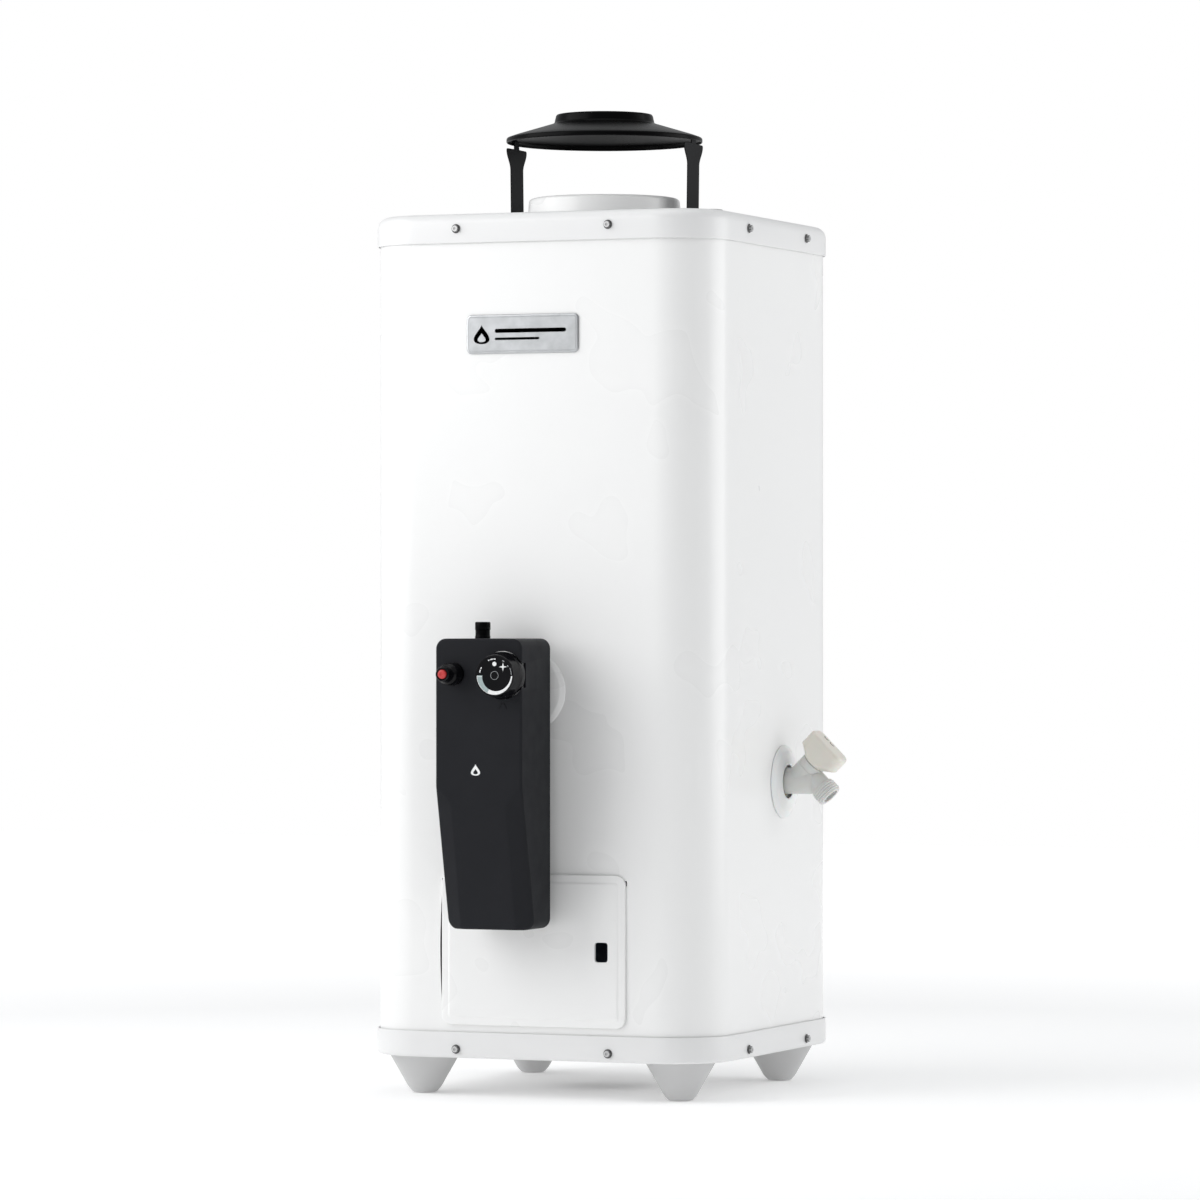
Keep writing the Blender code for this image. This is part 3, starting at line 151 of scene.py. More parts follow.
def at_height(outline, z):
    return [(x, y, z) for x, y in outline]


def shifted(outline, dx, dy):
    return [(x + dx, y + dy) for x, y in outline]


def slab(bm, outline, low, high):
    loft(bm, [at_height(outline, low), at_height(outline, high)])


def turned(profile, steps=72, closed=False):
    """A turned solid from (radius, z) points; a closed profile makes a ring or a tube."""
    return lofted([at_height(circle(radius, steps), z) for radius, z in profile], closed)


def add_box(bm, low, high):
    size = [b - a for a, b in zip(low, high)]
    centre = [(a + b) / 2 for a, b in zip(low, high)]
    bmesh.ops.create_cube(bm, size=1.0,
                          matrix=Matrix.Translation(centre) @ Matrix.Diagonal((*size, 1.0)))


def add_rod(bm, start, end, radius, steps=32):
    start = Vector(start)
    along = Vector(end) - start
    turn = along.to_track_quat("Z", "Y").to_matrix().to_4x4()
    bmesh.ops.create_cone(bm, cap_ends=True, segments=steps, radius1=radius, radius2=radius,
                          depth=along.length, matrix=Matrix.Translation(start + along / 2) @ turn)


def add_bore(bm, centre, reach, radius, steps=32):
    """A rod that reaches equally far to both sides of its centre."""
    add_rod(bm, Vector(centre) - Vector(reach), Vector(centre) + Vector(reach), radius, steps)


def link_object(obj):
    bpy.context.scene.collection.objects.link(obj)


def smooth_mesh(mesh, angle=35.0):
    mesh.shade_smooth()
    mesh.set_sharp_from_angle(angle=math.radians(angle))


def face_outwards(bm):
    bmesh.ops.recalc_face_normals(bm, faces=bm.faces)
    if bm.calc_volume(signed=True) < 0:
        bmesh.ops.reverse_faces(bm, faces=bm.faces)


def to_mesh(name, bm, smooth_angle=35.0):
    face_outwards(bm)
    mesh = bpy.data.meshes.new(name)
    bm.to_mesh(mesh)
    bm.free()
    smooth_mesh(mesh, smooth_angle)
    return mesh


def piece(name, data, material, body, nodes=(), location=AXIS, rotation=(0, 0, 0), smooth=35.0):
    """Link a finished piece, give it its material and body, and hide the CAD nodes it stands for."""
    if isinstance(data, bmesh.types.BMesh):
        data = to_mesh(name, data, smooth)
    if not data.materials:
        data.materials.append(material)
    obj = bpy.data.objects.new(name, data)
    obj.location = location
    obj.rotation_euler = rotation
    link_object(obj)
    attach(obj, body)
    if nodes:
        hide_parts(*nodes)
    return obj


def boolean(obj, tool_bm, operation="DIFFERENCE"):
    """Cut or join with a tool solid given in the object's own frame, and keep only the result."""
    face_outwards(tool_bm)
    tool_mesh = bpy.data.meshes.new("tool")
    tool_bm.to_mesh(tool_mesh)
    tool_bm.free()
    tool = bpy.data.objects.new("tool", tool_mesh)
    link_object(tool)
    bpy.context.view_layer.update()
    tool.matrix_world = obj.matrix_world
    modifier = obj.modifiers.new("boolean", "BOOLEAN")
    modifier.operation = operation
    modifier.object = tool
    modifier.solver = "EXACT"
    bpy.context.view_layer.update()
    depsgraph = bpy.context.evaluated_depsgraph_get()
    result = bpy.data.meshes.new_from_object(obj.evaluated_get(depsgraph))
    obj.modifiers.clear()
    obj.data = result
    bpy.data.objects.remove(tool, do_unlink=True)
    smooth_mesh(obj.data)


# ------------------------------------------------------------------ materials

def add_node(tree, kind, values=None, operation=None):
    """A shader node with the values of its own sockets and its operation."""
    node = tree.nodes.new("ShaderNode" + kind)
    if operation:
        node.operation = operation
    for socket, value in (values or {}).items():
        node.inputs[socket].default_value = value
    return node


class Shader:
    """A small builder for one procedural Principled material in object coordinates."""

    def __init__(self, name):
        self.material = bpy.data.materials.new(name)
        self.material.use_nodes = True
        self.tree = self.material.node_tree
        self.link = self.tree.links.new
        self.bsdf = self.tree.nodes["Principled BSDF"]
        self.coords = add_node(self.tree, "TexCoord")

    def set(self, **values):
        names = {"metallic": "Metallic", "coat": "Coat Weight", "coat_roughness": "Coat Roughness",
                 "sheen": "Sheen Weight", "ior": "IOR", "subsurface": "Subsurface Weight",
                 "subsurface_scale": "Subsurface Scale"}
        for key, value in values.items():
            self.bsdf.inputs[names[key]].default_value = value
        return self

    def noise(self, scale, detail=3.0, stretch=(1, 1, 1)):
        mapping = add_node(self.tree, "Mapping", {"Scale": stretch})
        texture = add_node(self.tree, "TexNoise", {"Scale": scale, "Detail": detail})
        self.link(self.coords.outputs["Object"], mapping.inputs["Vector"])
        self.link(mapping.outputs["Vector"], texture.inputs["Vector"])
        return texture.outputs["Fac"]

    def ramp(self, source, stops):
        node = add_node(self.tree, "ValToRGB")
        elements = node.color_ramp.elements
        while len(elements) < len(stops):
            elements.new(0.5)
        for element, (position, colour) in zip(elements, stops):
            element.position = position
            element.color = (*colour, 1.0)
        self.link(source, node.inputs["Fac"])
        return node.outputs["Color"]

    def colour(self, source, dark, light):
        self.link(self.ramp(source, [(0.3, dark), (0.7, light)]), self.bsdf.inputs["Base Color"])
        return self

    def roughness(self, source, low, high):
        node = add_node(self.tree, "MapRange",
                        {"From Min": 0.3, "From Max": 0.7, "To Min": low, "To Max": high})
        self.link(source, node.inputs["Value"])
        self.link(node.outputs["Result"], self.bsdf.inputs["Roughness"])
        return self

    def bump(self, source, strength, distance):
        node = add_node(self.tree, "Bump", {"Strength": strength, "Distance": distance})
        self.link(source, node.inputs["Height"])
        self.link(node.outputs["Normal"], self.bsdf.inputs["Normal"])
        return self


def shade(colour, factor):
    return tuple(min(1.0, channel * factor) for channel in colour)


def enamel(name, colour, low=0.27, high=0.29, coat=0.12, ior=1.5):
    """Stoved enamel on sheet: almost even, with a faint orange peel."""
    shader = Shader(name)
    shader.colour(shader.noise(3.0, 1.0), shade(colour, 0.992), shade(colour, 1.0))
    shader.roughness(shader.noise(14.0, 1.0), low, high)
    shader.bump(shader.noise(60.0, 1.0), 0.04, 0.0005)
    return shader.set(coat=coat, coat_roughness=0.25, ior=ior).material


def moulded(name, colour, low=0.38, high=0.5, grain=900.0, depth=0.12, spread=0.06, subsurface=0.0,
            ior=1.5):
    """Moulded plastic with a fine spark-eroded grain and faint flow marks."""
    shader = Shader(name)
    shader.colour(shader.noise(26.0, 5.0), shade(colour, 1 - spread), shade(colour, 1 + spread))
    shader.roughness(shader.noise(60.0), low, high)
    shader.bump(shader.noise(grain, 3.0), depth, 0.0003)
    if subsurface:
        shader.set(subsurface=subsurface, subsurface_scale=0.003)
    return shader.set(ior=ior).material


def metal(name, colour, low, high, stretch=(1, 1, 1), scale=220.0, depth=0.1, spread=0.12, metallic=1.0):
    """Metal whose tone, gloss and fine relief share a grain; a stretch makes it brushed."""
    shader = Shader(name)
    grain = shader.noise(scale, 6.0, stretch)
    shader.colour(grain, shade(colour, 1 - spread), shade(colour, 1 + spread))
    shader.roughness(shader.noise(scale * 0.6, 4.0, stretch), low, high)
    shader.bump(grain, depth, 0.0003)
    return shader.set(metallic=metallic).material


def screw_steel_painted_shade(name):
    """Plated steel with painted shade: the driving face keeps a bright steel tone, and the colour falls to
    near black over the head's sides and the flange around it, where shade falls.
    """
    ramp_radius = 0.005
    shader = Shader(name)
    flatten = add_node(shader.tree, "VectorMath", {1: (1.0, 1.0, 0.0)}, "MULTIPLY")
    length = add_node(shader.tree, "VectorMath", None, "LENGTH")
    scaled = add_node(shader.tree, "Math", {1: 1 / ramp_radius}, "MULTIPLY")
    shader.link(shader.coords.outputs["Object"], flatten.inputs[0])
    shader.link(flatten.outputs["Vector"], length.inputs[0])
    shader.link(length.outputs["Value"], scaled.inputs[0])
    # the colour rises from 0.40 at the middle to 0.62 on the driving face, then drops to 0.10 as painted
    # shade on the head's sides and flange
    stops = [(0.0, (0.40, 0.40, 0.40)), (0.52, (0.62, 0.62, 0.62)), (0.66, (0.10, 0.10, 0.10))]
    shader.link(shader.ramp(scaled.outputs["Value"], stops), shader.bsdf.inputs["Base Color"])
    grain = shader.noise(900.0, 4.0)
    shader.roughness(grain, 0.30, 0.45)
    shader.bump(grain, 0.1, 0.0002)
    return shader.set(metallic=0.7).material


def wool(name):
    """Loose yellow fibres, matted and dull."""
    shader = Shader(name)
    fibres = shader.noise(160.0, 8.0, (1, 1, 3))
    shader.colour(fibres, (0.62, 0.48, 0.16), (0.88, 0.76, 0.40))
    shader.roughness(fibres, 0.85, 1.0)
    shader.bump(fibres, 0.8, 0.004)
    return shader.set(sheen=0.3).material


def printed(name, colour):
    """Screen-printed ink: flat, a little uneven at its edges and faintly rough."""
    shader = Shader(name)
    shader.colour(shader.noise(300.0), shade(colour, 0.93), shade(colour, 1.0))
    shader.roughness(shader.noise(120.0), 0.35, 0.5)
    shader.bump(shader.noise(900.0), 0.05, 0.0002)
    return shader.material


WHITE = enamel("jacket_enamel", (0.88, 0.88, 0.875))
CAP_WHITE = enamel("cap_enamel", (0.80, 0.80, 0.80), 0.28, 0.36, 0.2)
FOOT = moulded("foot_plastic", (0.56, 0.56, 0.56), 0.40, 0.5, 600.0, 0.06, 0.02)
BLACK = enamel("black_enamel", (0.0016, 0.0016, 0.0018), 0.24, 0.32, 0.0, 1.14)
LEG_BLACK = enamel("leg_enamel", (0.009, 0.009, 0.010), 0.38, 0.48, 0.0, 1.16)
CHARCOAL = moulded("control_plastic", (0.0165, 0.0172, 0.0200), 0.42, 0.52, 1100.0, 0.16, 0.05, 0.0, 1.16)
GLOSS_BLACK = moulded("dial_plastic", (0.003, 0.003, 0.004), 0.14, 0.22, 500.0, 0.02, 0.05, 0.0, 1.25)
RED = moulded("red_plastic", (0.52, 0.035, 0.035), 0.25, 0.35, 500.0, 0.03, 0.06)
BLUE = moulded("blue_plastic", (0.03, 0.10, 0.45), 0.3, 0.4, 500.0, 0.03, 0.06)
IVORY = moulded("ivory_plastic", (0.76, 0.735, 0.665), 0.32, 0.45, 700.0, 0.05, 0.03, 0.15)
IVORY_BODY = moulded("ivory_body_plastic", (0.66, 0.665, 0.645), 0.34, 0.46, 700.0, 0.05, 0.03, 0.15)
IVORY_PLATE = moulded("ivory_plate_plastic", (0.80, 0.81, 0.81), 0.30, 0.42, 700.0, 0.05, 0.02, 0.15)
BADGE = metal("badge_metal", (0.46, 0.47, 0.48), 0.30, 0.42, (1, 1, 60), 90.0, 0.15, 0.10)
ZINC = metal("zinc_steel", (0.52, 0.52, 0.50), 0.25, 0.4, (1, 1, 1), 500.0, 0.08, 0.15)
SCREW_STEEL_PAINTED_SHADE = screw_steel_painted_shade("screw_steel_painted_shade")
TANK = metal("tank_steel", (0.12, 0.15, 0.20), 0.4, 0.6, (1, 1, 1), 60.0, 0.2, 0.2, 0.4)
CAST = metal("cast_aluminium", (0.50, 0.50, 0.50), 0.42, 0.6, (1, 1, 1), 700.0, 0.3, 0.12)
MAGNESIUM = metal("magnesium", (0.50, 0.50, 0.48), 0.5, 0.7, (1, 1, 1), 300.0, 0.3, 0.15)
BRASS = metal("brass", (0.60, 0.42, 0.16), 0.25, 0.4, (1, 1, 1), 300.0, 0.08, 0.12)
WOOL = wool("glass_wool")
DIP = moulded("dip_plastic", (0.60, 0.64, 0.68), 0.3, 0.4, 400.0, 0.04, 0.03)
WHITE_INK = printed("white_ink", (0.85, 0.86, 0.86))
MINT_INK = printed("mint_ink", (0.34, 0.42, 0.42))
GREY_INK = printed("grey_ink", (0.30, 0.31, 0.32))
DARK_INK = printed("dark_ink", (0.02, 0.02, 0.022))

CARRIED = {
    "tank_shell": TANK, "tank_top_head": TANK, "tank_bottom_head": TANK, "flue_tube": TANK,
    "flue_baffle": TANK, "insulation": WOOL, "anode_rod": MAGNESIUM, "dip_tube": DIP,
    "thermostat_probe": BRASS, "thermocouple": BRASS, "dial_shaft": BRASS, "drain_stem": BRASS,
    "gas_valve_body": CAST, "main_burner": CAST, "burner_gas_tube": CAST, "pilot_gas_tube": CAST,
    "pilot_burner": ZINC, "burner_bracket": ZINC,
}


def dress_carried_nodes():
    for node, material in CARRIED.items():
        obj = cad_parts[node]
        for slot in obj.material_slots:
            slot.material = material


# ------------------------------------------------------------------ casing

def jacket_ring(inset, z, steps=22):
    return at_height(rounded_outline(JACKET_SIZE - 2 * inset, JACKET_SIZE - 2 * inset,
                                     JACKET_RADIUS - inset, steps), z)


def bowed_slit(edge, low, high, near, far, steps=24):
    """The gap beside the door, where the jacket's edge bows away from it."""
    bow = 0.0030
    left = []
    right = []
    for step in range(steps + 1):
        share = step / steps
        z = low + (high - low) * share
        left.append((edge - bow * math.sin(math.pi * share) ** 0.8 - 0.0002, z))
        right.append((edge + 0.004, z))
    outline = left + list(reversed(right))
    return lofted([[(x, y, z) for x, z in outline] for y in (near, far)])


def make_jacket():
    """The folded sheet, open behind the door, at the hook slots and round both fittings."""
    bottom = JACKET_LOW.z
    top = JACKET_HIGH.z
    skin = 0.0008
    bm = lofted([jacket_ring(0, bottom), jacket_ring(0, top), jacket_ring(skin, top),
                 jacket_ring(skin, bottom)], closed=True)
    jacket = piece("jacket_sheet", bm, WHITE, "heater", ["outer_jacket"])
    door_low = low_of("burner_door") - AXIS
    door_high = high_of("burner_door") - AXIS
    door_mid = (door_low.x + door_high.x) / 2
    lap = 0.012
    reach = 0.005
    near = -JACKET_HALF - reach
    far = -JACKET_HALF + reach
    cuts = bmesh.new()
    add_box(cuts, (door_low.x + lap, near, door_low.z + lap), (door_high.x - lap, far, door_high.z - lap))
    add_box(cuts, (-0.030, near, 0.219), (0.008, far, 0.235))
    for side in (-1, 1):
        edges = sorted((door_mid + side * 0.0895, door_mid + side * 0.0974))
        add_box(cuts, (edges[0], near, 0.2084), (edges[1], far, 0.2132))
    shank = middle("control_escutcheon") - AXIS
    add_bore(cuts, (shank.x, -JACKET_HALF, shank.z), (0, reach, 0), 0.020)
    drain = middle("drain_escutcheon") - AXIS
    add_bore(cuts, (JACKET_HALF, drain.y, drain.z), (reach, 0, 0), 0.0165)
    boolean(jacket, cuts)
    boolean(jacket, bowed_slit(door_low.x + 0.0004, 0.080, 0.210, near, far))


def make_jacket_seam():
    """The folded seam down the middle of the back, between the two caps."""
    low = high_of("bottom_cap").z + 0.0005
    high = low_of("top_cap").z - 0.0005
    outline = soften([(-0.006, 0.0), (-0.0052, 0.0014), (0.0052, 0.0014), (0.006, 0.0)], 0.0008)
    bm = lofted([[(x, JACKET_HALF + y, z) for x, y in outline] for z in (low, high)])
    piece("jacket_seam", bm, WHITE, "heater")


def cap_section(points, steps=22):
    """Rings of a cap from (inset, z) points."""
    return [at_height(rounded_outline(CAP_SIZE - 2 * inset, CAP_SIZE - 2 * inset,
                                      CAP_RADIUS - inset, steps), z) for inset, z in points]


def quarter(roll, start_z, direction, inset=0.0, steps=9):
    """(inset, z) points round a rolled edge, from the skirt to the flat."""
    points = []
    for step in range(steps + 1):
        across, up = polar(roll, QUARTER * step / steps)
        points.append((inset + roll - across, start_z + direction * up))
    return points


def make_cap(node, edge, flat, roll, steps, holes):
    """A pan from its skirt's edge to its flat; the holes are (x, y, radius, steps)."""
    skin = 0.0010
    away = 1 if flat > edge else -1
    start = flat - away * roll
    inside = quarter(roll - skin, start, away, skin, steps[0])
    outside = [(0.0005, edge), (0.0001, edge + away * 0.0003), (0.0, edge + away * 0.0008)]
    outside += quarter(roll, start, away, 0.0, steps[1])
    bm = lofted(cap_section(list(reversed(inside)) + [(skin, edge)] + outside))
    cap = piece(f"{node}_pan", bm, CAP_WHITE, "heater", [node])
    cuts = bmesh.new()
    for x, y, radius, sides in holes:
        add_bore(cuts, (x, y, flat), (0, 0, 0.006), radius, sides)
    boolean(cap, cuts)


def make_caps():
    holes = [(0.0, 0.0, 0.062, 64)]
    for node in ("hot_nipple", "cold_nipple"):
        spot = middle(node) - AXIS
        holes.append((spot.x, spot.y, 0.0148, 40))
    make_cap("top_cap", *heights("top_cap"), 0.011, (9, 9), holes)
    make_cap("bottom_cap", *reversed(heights("bottom_cap")), 0.0035, (4, 5), [(0.0, 0.0, 0.045, 48)])


def screw_mesh():
    """A hex washer head screw with a dimple, along local +Z."""
    hex_radius = 0.0034
    hexagon = soften([polar(hex_radius, math.radians(60 * i)) for i in range(6)], 0.0004, 3, closed=True)
    count = len(hexagon)
    turn = math.radians(-12.0)         # lines the rings up with the softened hexagon
    washer = [(0.0017, -0.008), (0.0017, GAP), (0.0041, GAP), (0.0045, 0.0006), (0.0044, 0.0009),
              (0.0037, 0.0013)]
    head = [(1.0, 0.0013), (1.0, 0.0034), (0.93, 0.0038), (0.85, 0.0040), (0.42, 0.0040), (0.34, 0.0032)]
    rings = [at_height([polar(radius, turn + 2 * math.pi * i / count) for i in range(count)], z)
             for radius, z in washer]
    rings += [[(x * factor, y * factor, z) for x, y in hexagon] for factor, z in head]
    return to_mesh("screw_head", lofted(rings))


def make_screws():
    mesh = screw_mesh()
    for node in sorted(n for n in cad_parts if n.startswith("screw_")):
        centre = middle(node) - AXIS
        across = abs(centre.x) > abs(centre.y)
        facing = math.atan2(0 if across else centre.y, centre.x if across else 0)
        half = CAP_SIZE / 2
        spot = AXIS + Vector((half * math.cos(facing), half * math.sin(facing), centre.z))
        if across:
            spot.y = AXIS.y + centre.y
        else:
            spot.x = AXIS.x + centre.x
        piece("cap_" + node, mesh, SCREW_STEEL_PAINTED_SHADE, "heater", [node], spot,
              (0.0, QUARTER, facing))


def make_feet():
    top = high_of("foot_front_left").z
    profile = soften([(0.0062, 0.0030), (0.0070, 0.0002), (0.0115, 0.0), (0.0158, 0.0045), (0.0336, 0.0358),
                      (0.0345, 0.0366), (0.0345, top)], [0, 0.0006, 0.0015, 0.0050, 0.0020, 0.0006, 0], 5)
    mesh = None
    for node in ("foot_front_left", "foot_front_right", "foot_rear_left", "foot_rear_right"):
        centre = middle(node)
        data = mesh or turned(profile, 64)
        obj = piece("moulded_" + node, data, FOOT, "heater", [node],
                    (centre.x, centre.y, 0.0))
        mesh = obj.data


# ------------------------------------------------------------------ flue outlet

def make_collar():
    base, top = heights("flue_collar")
    skin = 0.0009
    outside = [(0.0768, base), (0.0752, top), (0.0484, top), (0.0480, top - 0.0060)]
    inside = [(0.0480 + skin, top - 0.0060), (0.0484 + skin, top - skin), (0.0752 - skin, top - skin),
              (0.0768 - skin, base)]
    radii = [0.0, 0.0045, 0.0018, 0.0, 0.0, 0.0012, 0.0036, 0.0]
    bm = turned(soften(outside + inside, radii, 6, closed=True), 96, closed=True)
    piece("flue_collar_ring", bm, WHITE, "heater", ["flue_collar"])


def make_hood():
    low, top = heights("draft_hood")
    skin = 0.0010
    outside = [(0.0972, low), (0.0979, low + 0.0008), (0.0979, low + 0.0046), (0.0900, low + 0.0074),
               (0.0700, low + 0.0134), (0.0520, low + 0.0188), (0.0500, low + 0.0200),
               (0.0484, top - 0.0012), (0.0474, top)]
    inside = [(0.0474 - skin * 0.4, top), (0.0480 - skin, top - 0.0014), (0.0496 - skin, low + 0.0198),
              (0.0512 - skin, low + 0.0182), (0.0700, low + 0.0134 - skin), (0.0900, low + 0.0074 - skin),
              (0.0979 - skin, low + 0.0040), (0.0979 - skin, low + 0.0006)]
    bm = turned(soften(outside + inside, 0.0016, 4, closed=True), 120, closed=True)
    piece("draft_hood_cone", bm, BLACK, "heater", ["draft_hood"])


def leg_mesh(side):
    """A strap that rises from a foot on the cap, flares to two shoulders and ends in a tab."""
    base, top = heights("hood_leg_right")
    skin = 0.0011
    shaft = 0.0152
    flare = 0.0245
    tab = 0.0056
    mid = base + skin / 2

    def reach(z):
        return 0.0946 + 0.0010 * (z - base) / (top - base)

    knee = base + 0.004
    shoulder_low = 0.9165
    shoulder_rise = 0.0188
    path = [(0.1088, mid, shaft * 0.72), (0.1062, mid, shaft * 0.88), (0.0990, mid, shaft),
            (0.0962, mid + 0.0002, shaft), (0.0950, mid + 0.0012, shaft), (reach(base), mid + 0.0040, shaft)]
    for step in range(1, 5):
        z = knee + (shoulder_low - knee) * step / 4
        path.append((reach(z), z, shaft))
    for step in range(1, 11):
        share = step / 10
        ease = share * share * (3 - 2 * share)
        z = shoulder_low + shoulder_rise * share
        path.append((reach(z), z, shaft + (flare - shaft) * ease))
    crest = 0.9374
    for width, z in ((flare - 0.0003, crest - 0.0011), (flare - 0.0010, crest - 0.0004),
                     (flare - 0.0020, crest - 0.0001), (tab * 1.5, crest), (tab * 1.08, crest + 0.0003),
                     (tab, crest + 0.0010), (tab, top - 0.0005), (tab * 0.86, top)):
        path.append((reach(z), z, width))
    columns = 18
    rings = []
    for i, (x, z, half) in enumerate(path):
        before = path[max(0, i - 1)]
        after = path[min(len(path) - 1, i + 1)]
        along = Vector((after[0] - before[0], after[1] - before[1])).normalized()
        normal = Vector((along.y, -along.x)) * skin / 2
        ring = []
        for face, order in ((1, range(columns + 1)), (-1, range(columns, -1, -1))):
            for column in order:
                y = half * (2 * column / columns - 1)
                ring.append((side * (x + face * normal.x), y, z + face * normal.y))
        rings.append(ring)
    return lofted(rings)


def make_hood_legs():
    for word, side in (("left", -1), ("right", 1)):
        leg = piece(f"hood_strap_{word}", leg_mesh(side), LEG_BLACK, "heater",
                    [f"hood_leg_{word}"])
        bevel = leg.modifiers.new("edge", "BEVEL")
        bevel.width = 0.00025
        bevel.segments = 2
        bevel.limit_method = "ANGLE"
        bevel.angle_limit = math.radians(50.0)
        dome = soften([(0.0028, 0.0), (0.0028, 0.0006), (0.0018, 0.0014), (0.0004, 0.0016)], 0.0008, 3)
        base = low_of("hood_leg_right").z + 0.0011
        for number, y in ((1, -0.0070), (2, 0.0070)):
            spot = AXIS + Vector((side * 0.1022, y, base))
            piece(f"strap_rivet_{word}_{number}", turned(dome, 24), LEG_BLACK, "heater",
                  (), spot)


# ------------------------------------------------------------------ badge

def drop_outline(width, height, steps=40):
    """A plain flame or drop, drawn by one formula."""
    points = []
    for step in range(steps):
        t = 2 * math.pi * (step + 0.5) / steps
        points.append((width * 0.65 * math.sin(t) * math.sin(t / 2) ** 2 * 2 ** 0.5,
                       height / 2 * math.cos(t)))
    return points


def make_badge():
    low = low_of("badge_plate")
    high = high_of("badge_plate")
    width = high.x - low.x
    height = high.z - low.z
    centre = ((low.x + high.x) / 2, FRONT_FACE, (low.z + high.z) / 2)
    thick = high.y - low.y
    levels = [(0.0, GAP), (0.0, GAP + thick * 0.55), (0.0004, GAP + thick * 0.85), (0.0010, GAP + thick),
              (0.0020, GAP + thick), (0.0022, GAP + thick - 0.0003), (0.0027, GAP + thick - 0.0003),
              (0.0029, GAP + thick)]
    bm = lofted([at_height(rounded_outline(width - 2 * i, height - 2 * i, 0.005 - i, 8), z)
                 for i, z in levels])
    piece("badge_sheet", bm, BADGE, "heater", ["badge_plate"], centre, FRONT_TURN)
    bm = bmesh.new()
    face = GAP + thick - INK
    flame_x = -0.0430
    flame = shifted(drop_outline(0.014, 0.019), flame_x, 0.0)
    hole = shifted(drop_outline(0.007, 0.009), flame_x, -0.0030)
    loft(bm, [at_height(flame, face), at_height(flame, face + INK), at_height(hole, face + INK),
              at_height(hole, face)], closed=True)
    for y, start, end, half in ((0.0032, -0.0290, 0.0460, 0.0020), (-0.0046, -0.0290, 0.0180, 0.0012)):
        bar = shifted(rounded_outline(end - start, 2 * half, half * 0.9, 5), (start + end) / 2, y)
        slab(bm, bar, face, face + INK)
    piece("badge_marks", bm, DARK_INK, "heater", (), centre, FRONT_TURN)


# ------------------------------------------------------------------ burner door

def make_door():
    low = low_of("burner_door")
    high = high_of("burner_door")
    width = high.x - low.x
    height = high.z - low.z
    centre = Vector(((low.x + high.x) / 2, FRONT_FACE, (low.z + high.z) / 2))
    depth = FRONT_FACE - low.y
    skin = 0.0009
    rim = depth - skin

    def ring(inset, z):
        radius = max(0.0030, 0.010 - inset)
        return at_height(rounded_outline(width - 2 * inset, height - 2 * inset, radius, 8), z)

    section = soften([(0.0, GAP), (0.0, rim), (0.0073, rim), (0.0086, depth), (0.0180, depth)],
                     [0, 0.0012, 0.0006, 0.0008, 0], 5)
    inner = [(0.0180, depth - skin), (skin, depth - 2 * skin), (skin, GAP)]
    bm = lofted([ring(i, z) for i, z in inner + section])
    door = piece("door_panel", bm, WHITE, "door", ["burner_door"], centre, FRONT_TURN)
    hooks = bmesh.new()
    hook_z = 0.2110 - centre.z
    for side in (-1, 1):
        edges = sorted((side * 0.0931, side * 0.0958))
        add_box(hooks, (edges[0], hook_z - 0.0012, -0.0035), (edges[1], hook_z + 0.0012, 0.0015))
    boolean(door, hooks, "UNION")

    def window_outline(inset):
        outline = rounded_outline(0.0138 - 2 * inset, 0.0196 - 2 * inset, 0.0030 - inset, 8)
        return shifted(outline, AXIS.x + 0.07325 - centre.x, 0.14415 - centre.z)

    window = bmesh.new()
    slab(window, window_outline(0.0), -0.003, 0.010)
    boolean(door, window)
    section = soften([(0.0, depth - 0.0030), (0.0, depth - 0.0001), (-0.0007, depth - 0.0001),
                      (-0.0007, depth - 0.0005), (0.0003, depth - 0.0005), (0.0003, depth - 0.0030)],
                     0.0003, 2, closed=True)
    lip = lofted([at_height(window_outline(inset), z) for inset, z in section], closed=True)
    piece("window_lip", lip, WHITE, "door", (), centre, FRONT_TURN)


# ------------------------------------------------------------------ gas control

COVER_LOW = low_of("control_cover") - AXIS
COVER_HIGH = high_of("control_cover") - AXIS
COVER_MID_X = (COVER_LOW.x + COVER_HIGH.x) / 2
COVER_HALF = (COVER_HIGH.x - COVER_LOW.x) / 2
FOLD_SIDE = 0.305          # height where the side facets start
FOLD_CENTRE = 0.285        # height where the middle starts to fall back
FACET = 0.0166             # width of a side facet
CENTRE_SLOPE = 0.0235      # how far the middle falls back by the lower edge
SIDE_SLOPE = 0.0310        # and the side facets
COVER_RADIUS = 0.010


def soft_ramp(value, width):
    """Zero below the fold and straight above it, with the crease rounded over this width."""
    if value <= -width:
        return 0.0
    if value >= width:
        return value
    return (value + width) ** 2 / (4 * width)


def cover_depth(x, z):
    """How far the cover's front lies behind its flat upper face."""
    centre = CENTRE_SLOPE * soft_ramp(FOLD_CENTRE - z, 0.004) / (FOLD_CENTRE - COVER_LOW.z)
    side = SIDE_SLOPE * max(0.0, FOLD_SIDE - z) / (FOLD_SIDE - COVER_LOW.z)
    share = min(1.0, max(0.0, (FOLD_SIDE - z) / (FOLD_SIDE - FOLD_CENTRE + 0.002)))
    width = FACET * math.sin(QUARTER * share) ** 0.85
    if width <= 1e-6 or side <= centre:
        return centre
    reach = abs(x - COVER_MID_X) - (COVER_HALF - width)
    ramp = soft_ramp(reach, 0.0007)
    return centre + (side - centre) * min(1.0, ramp / width)


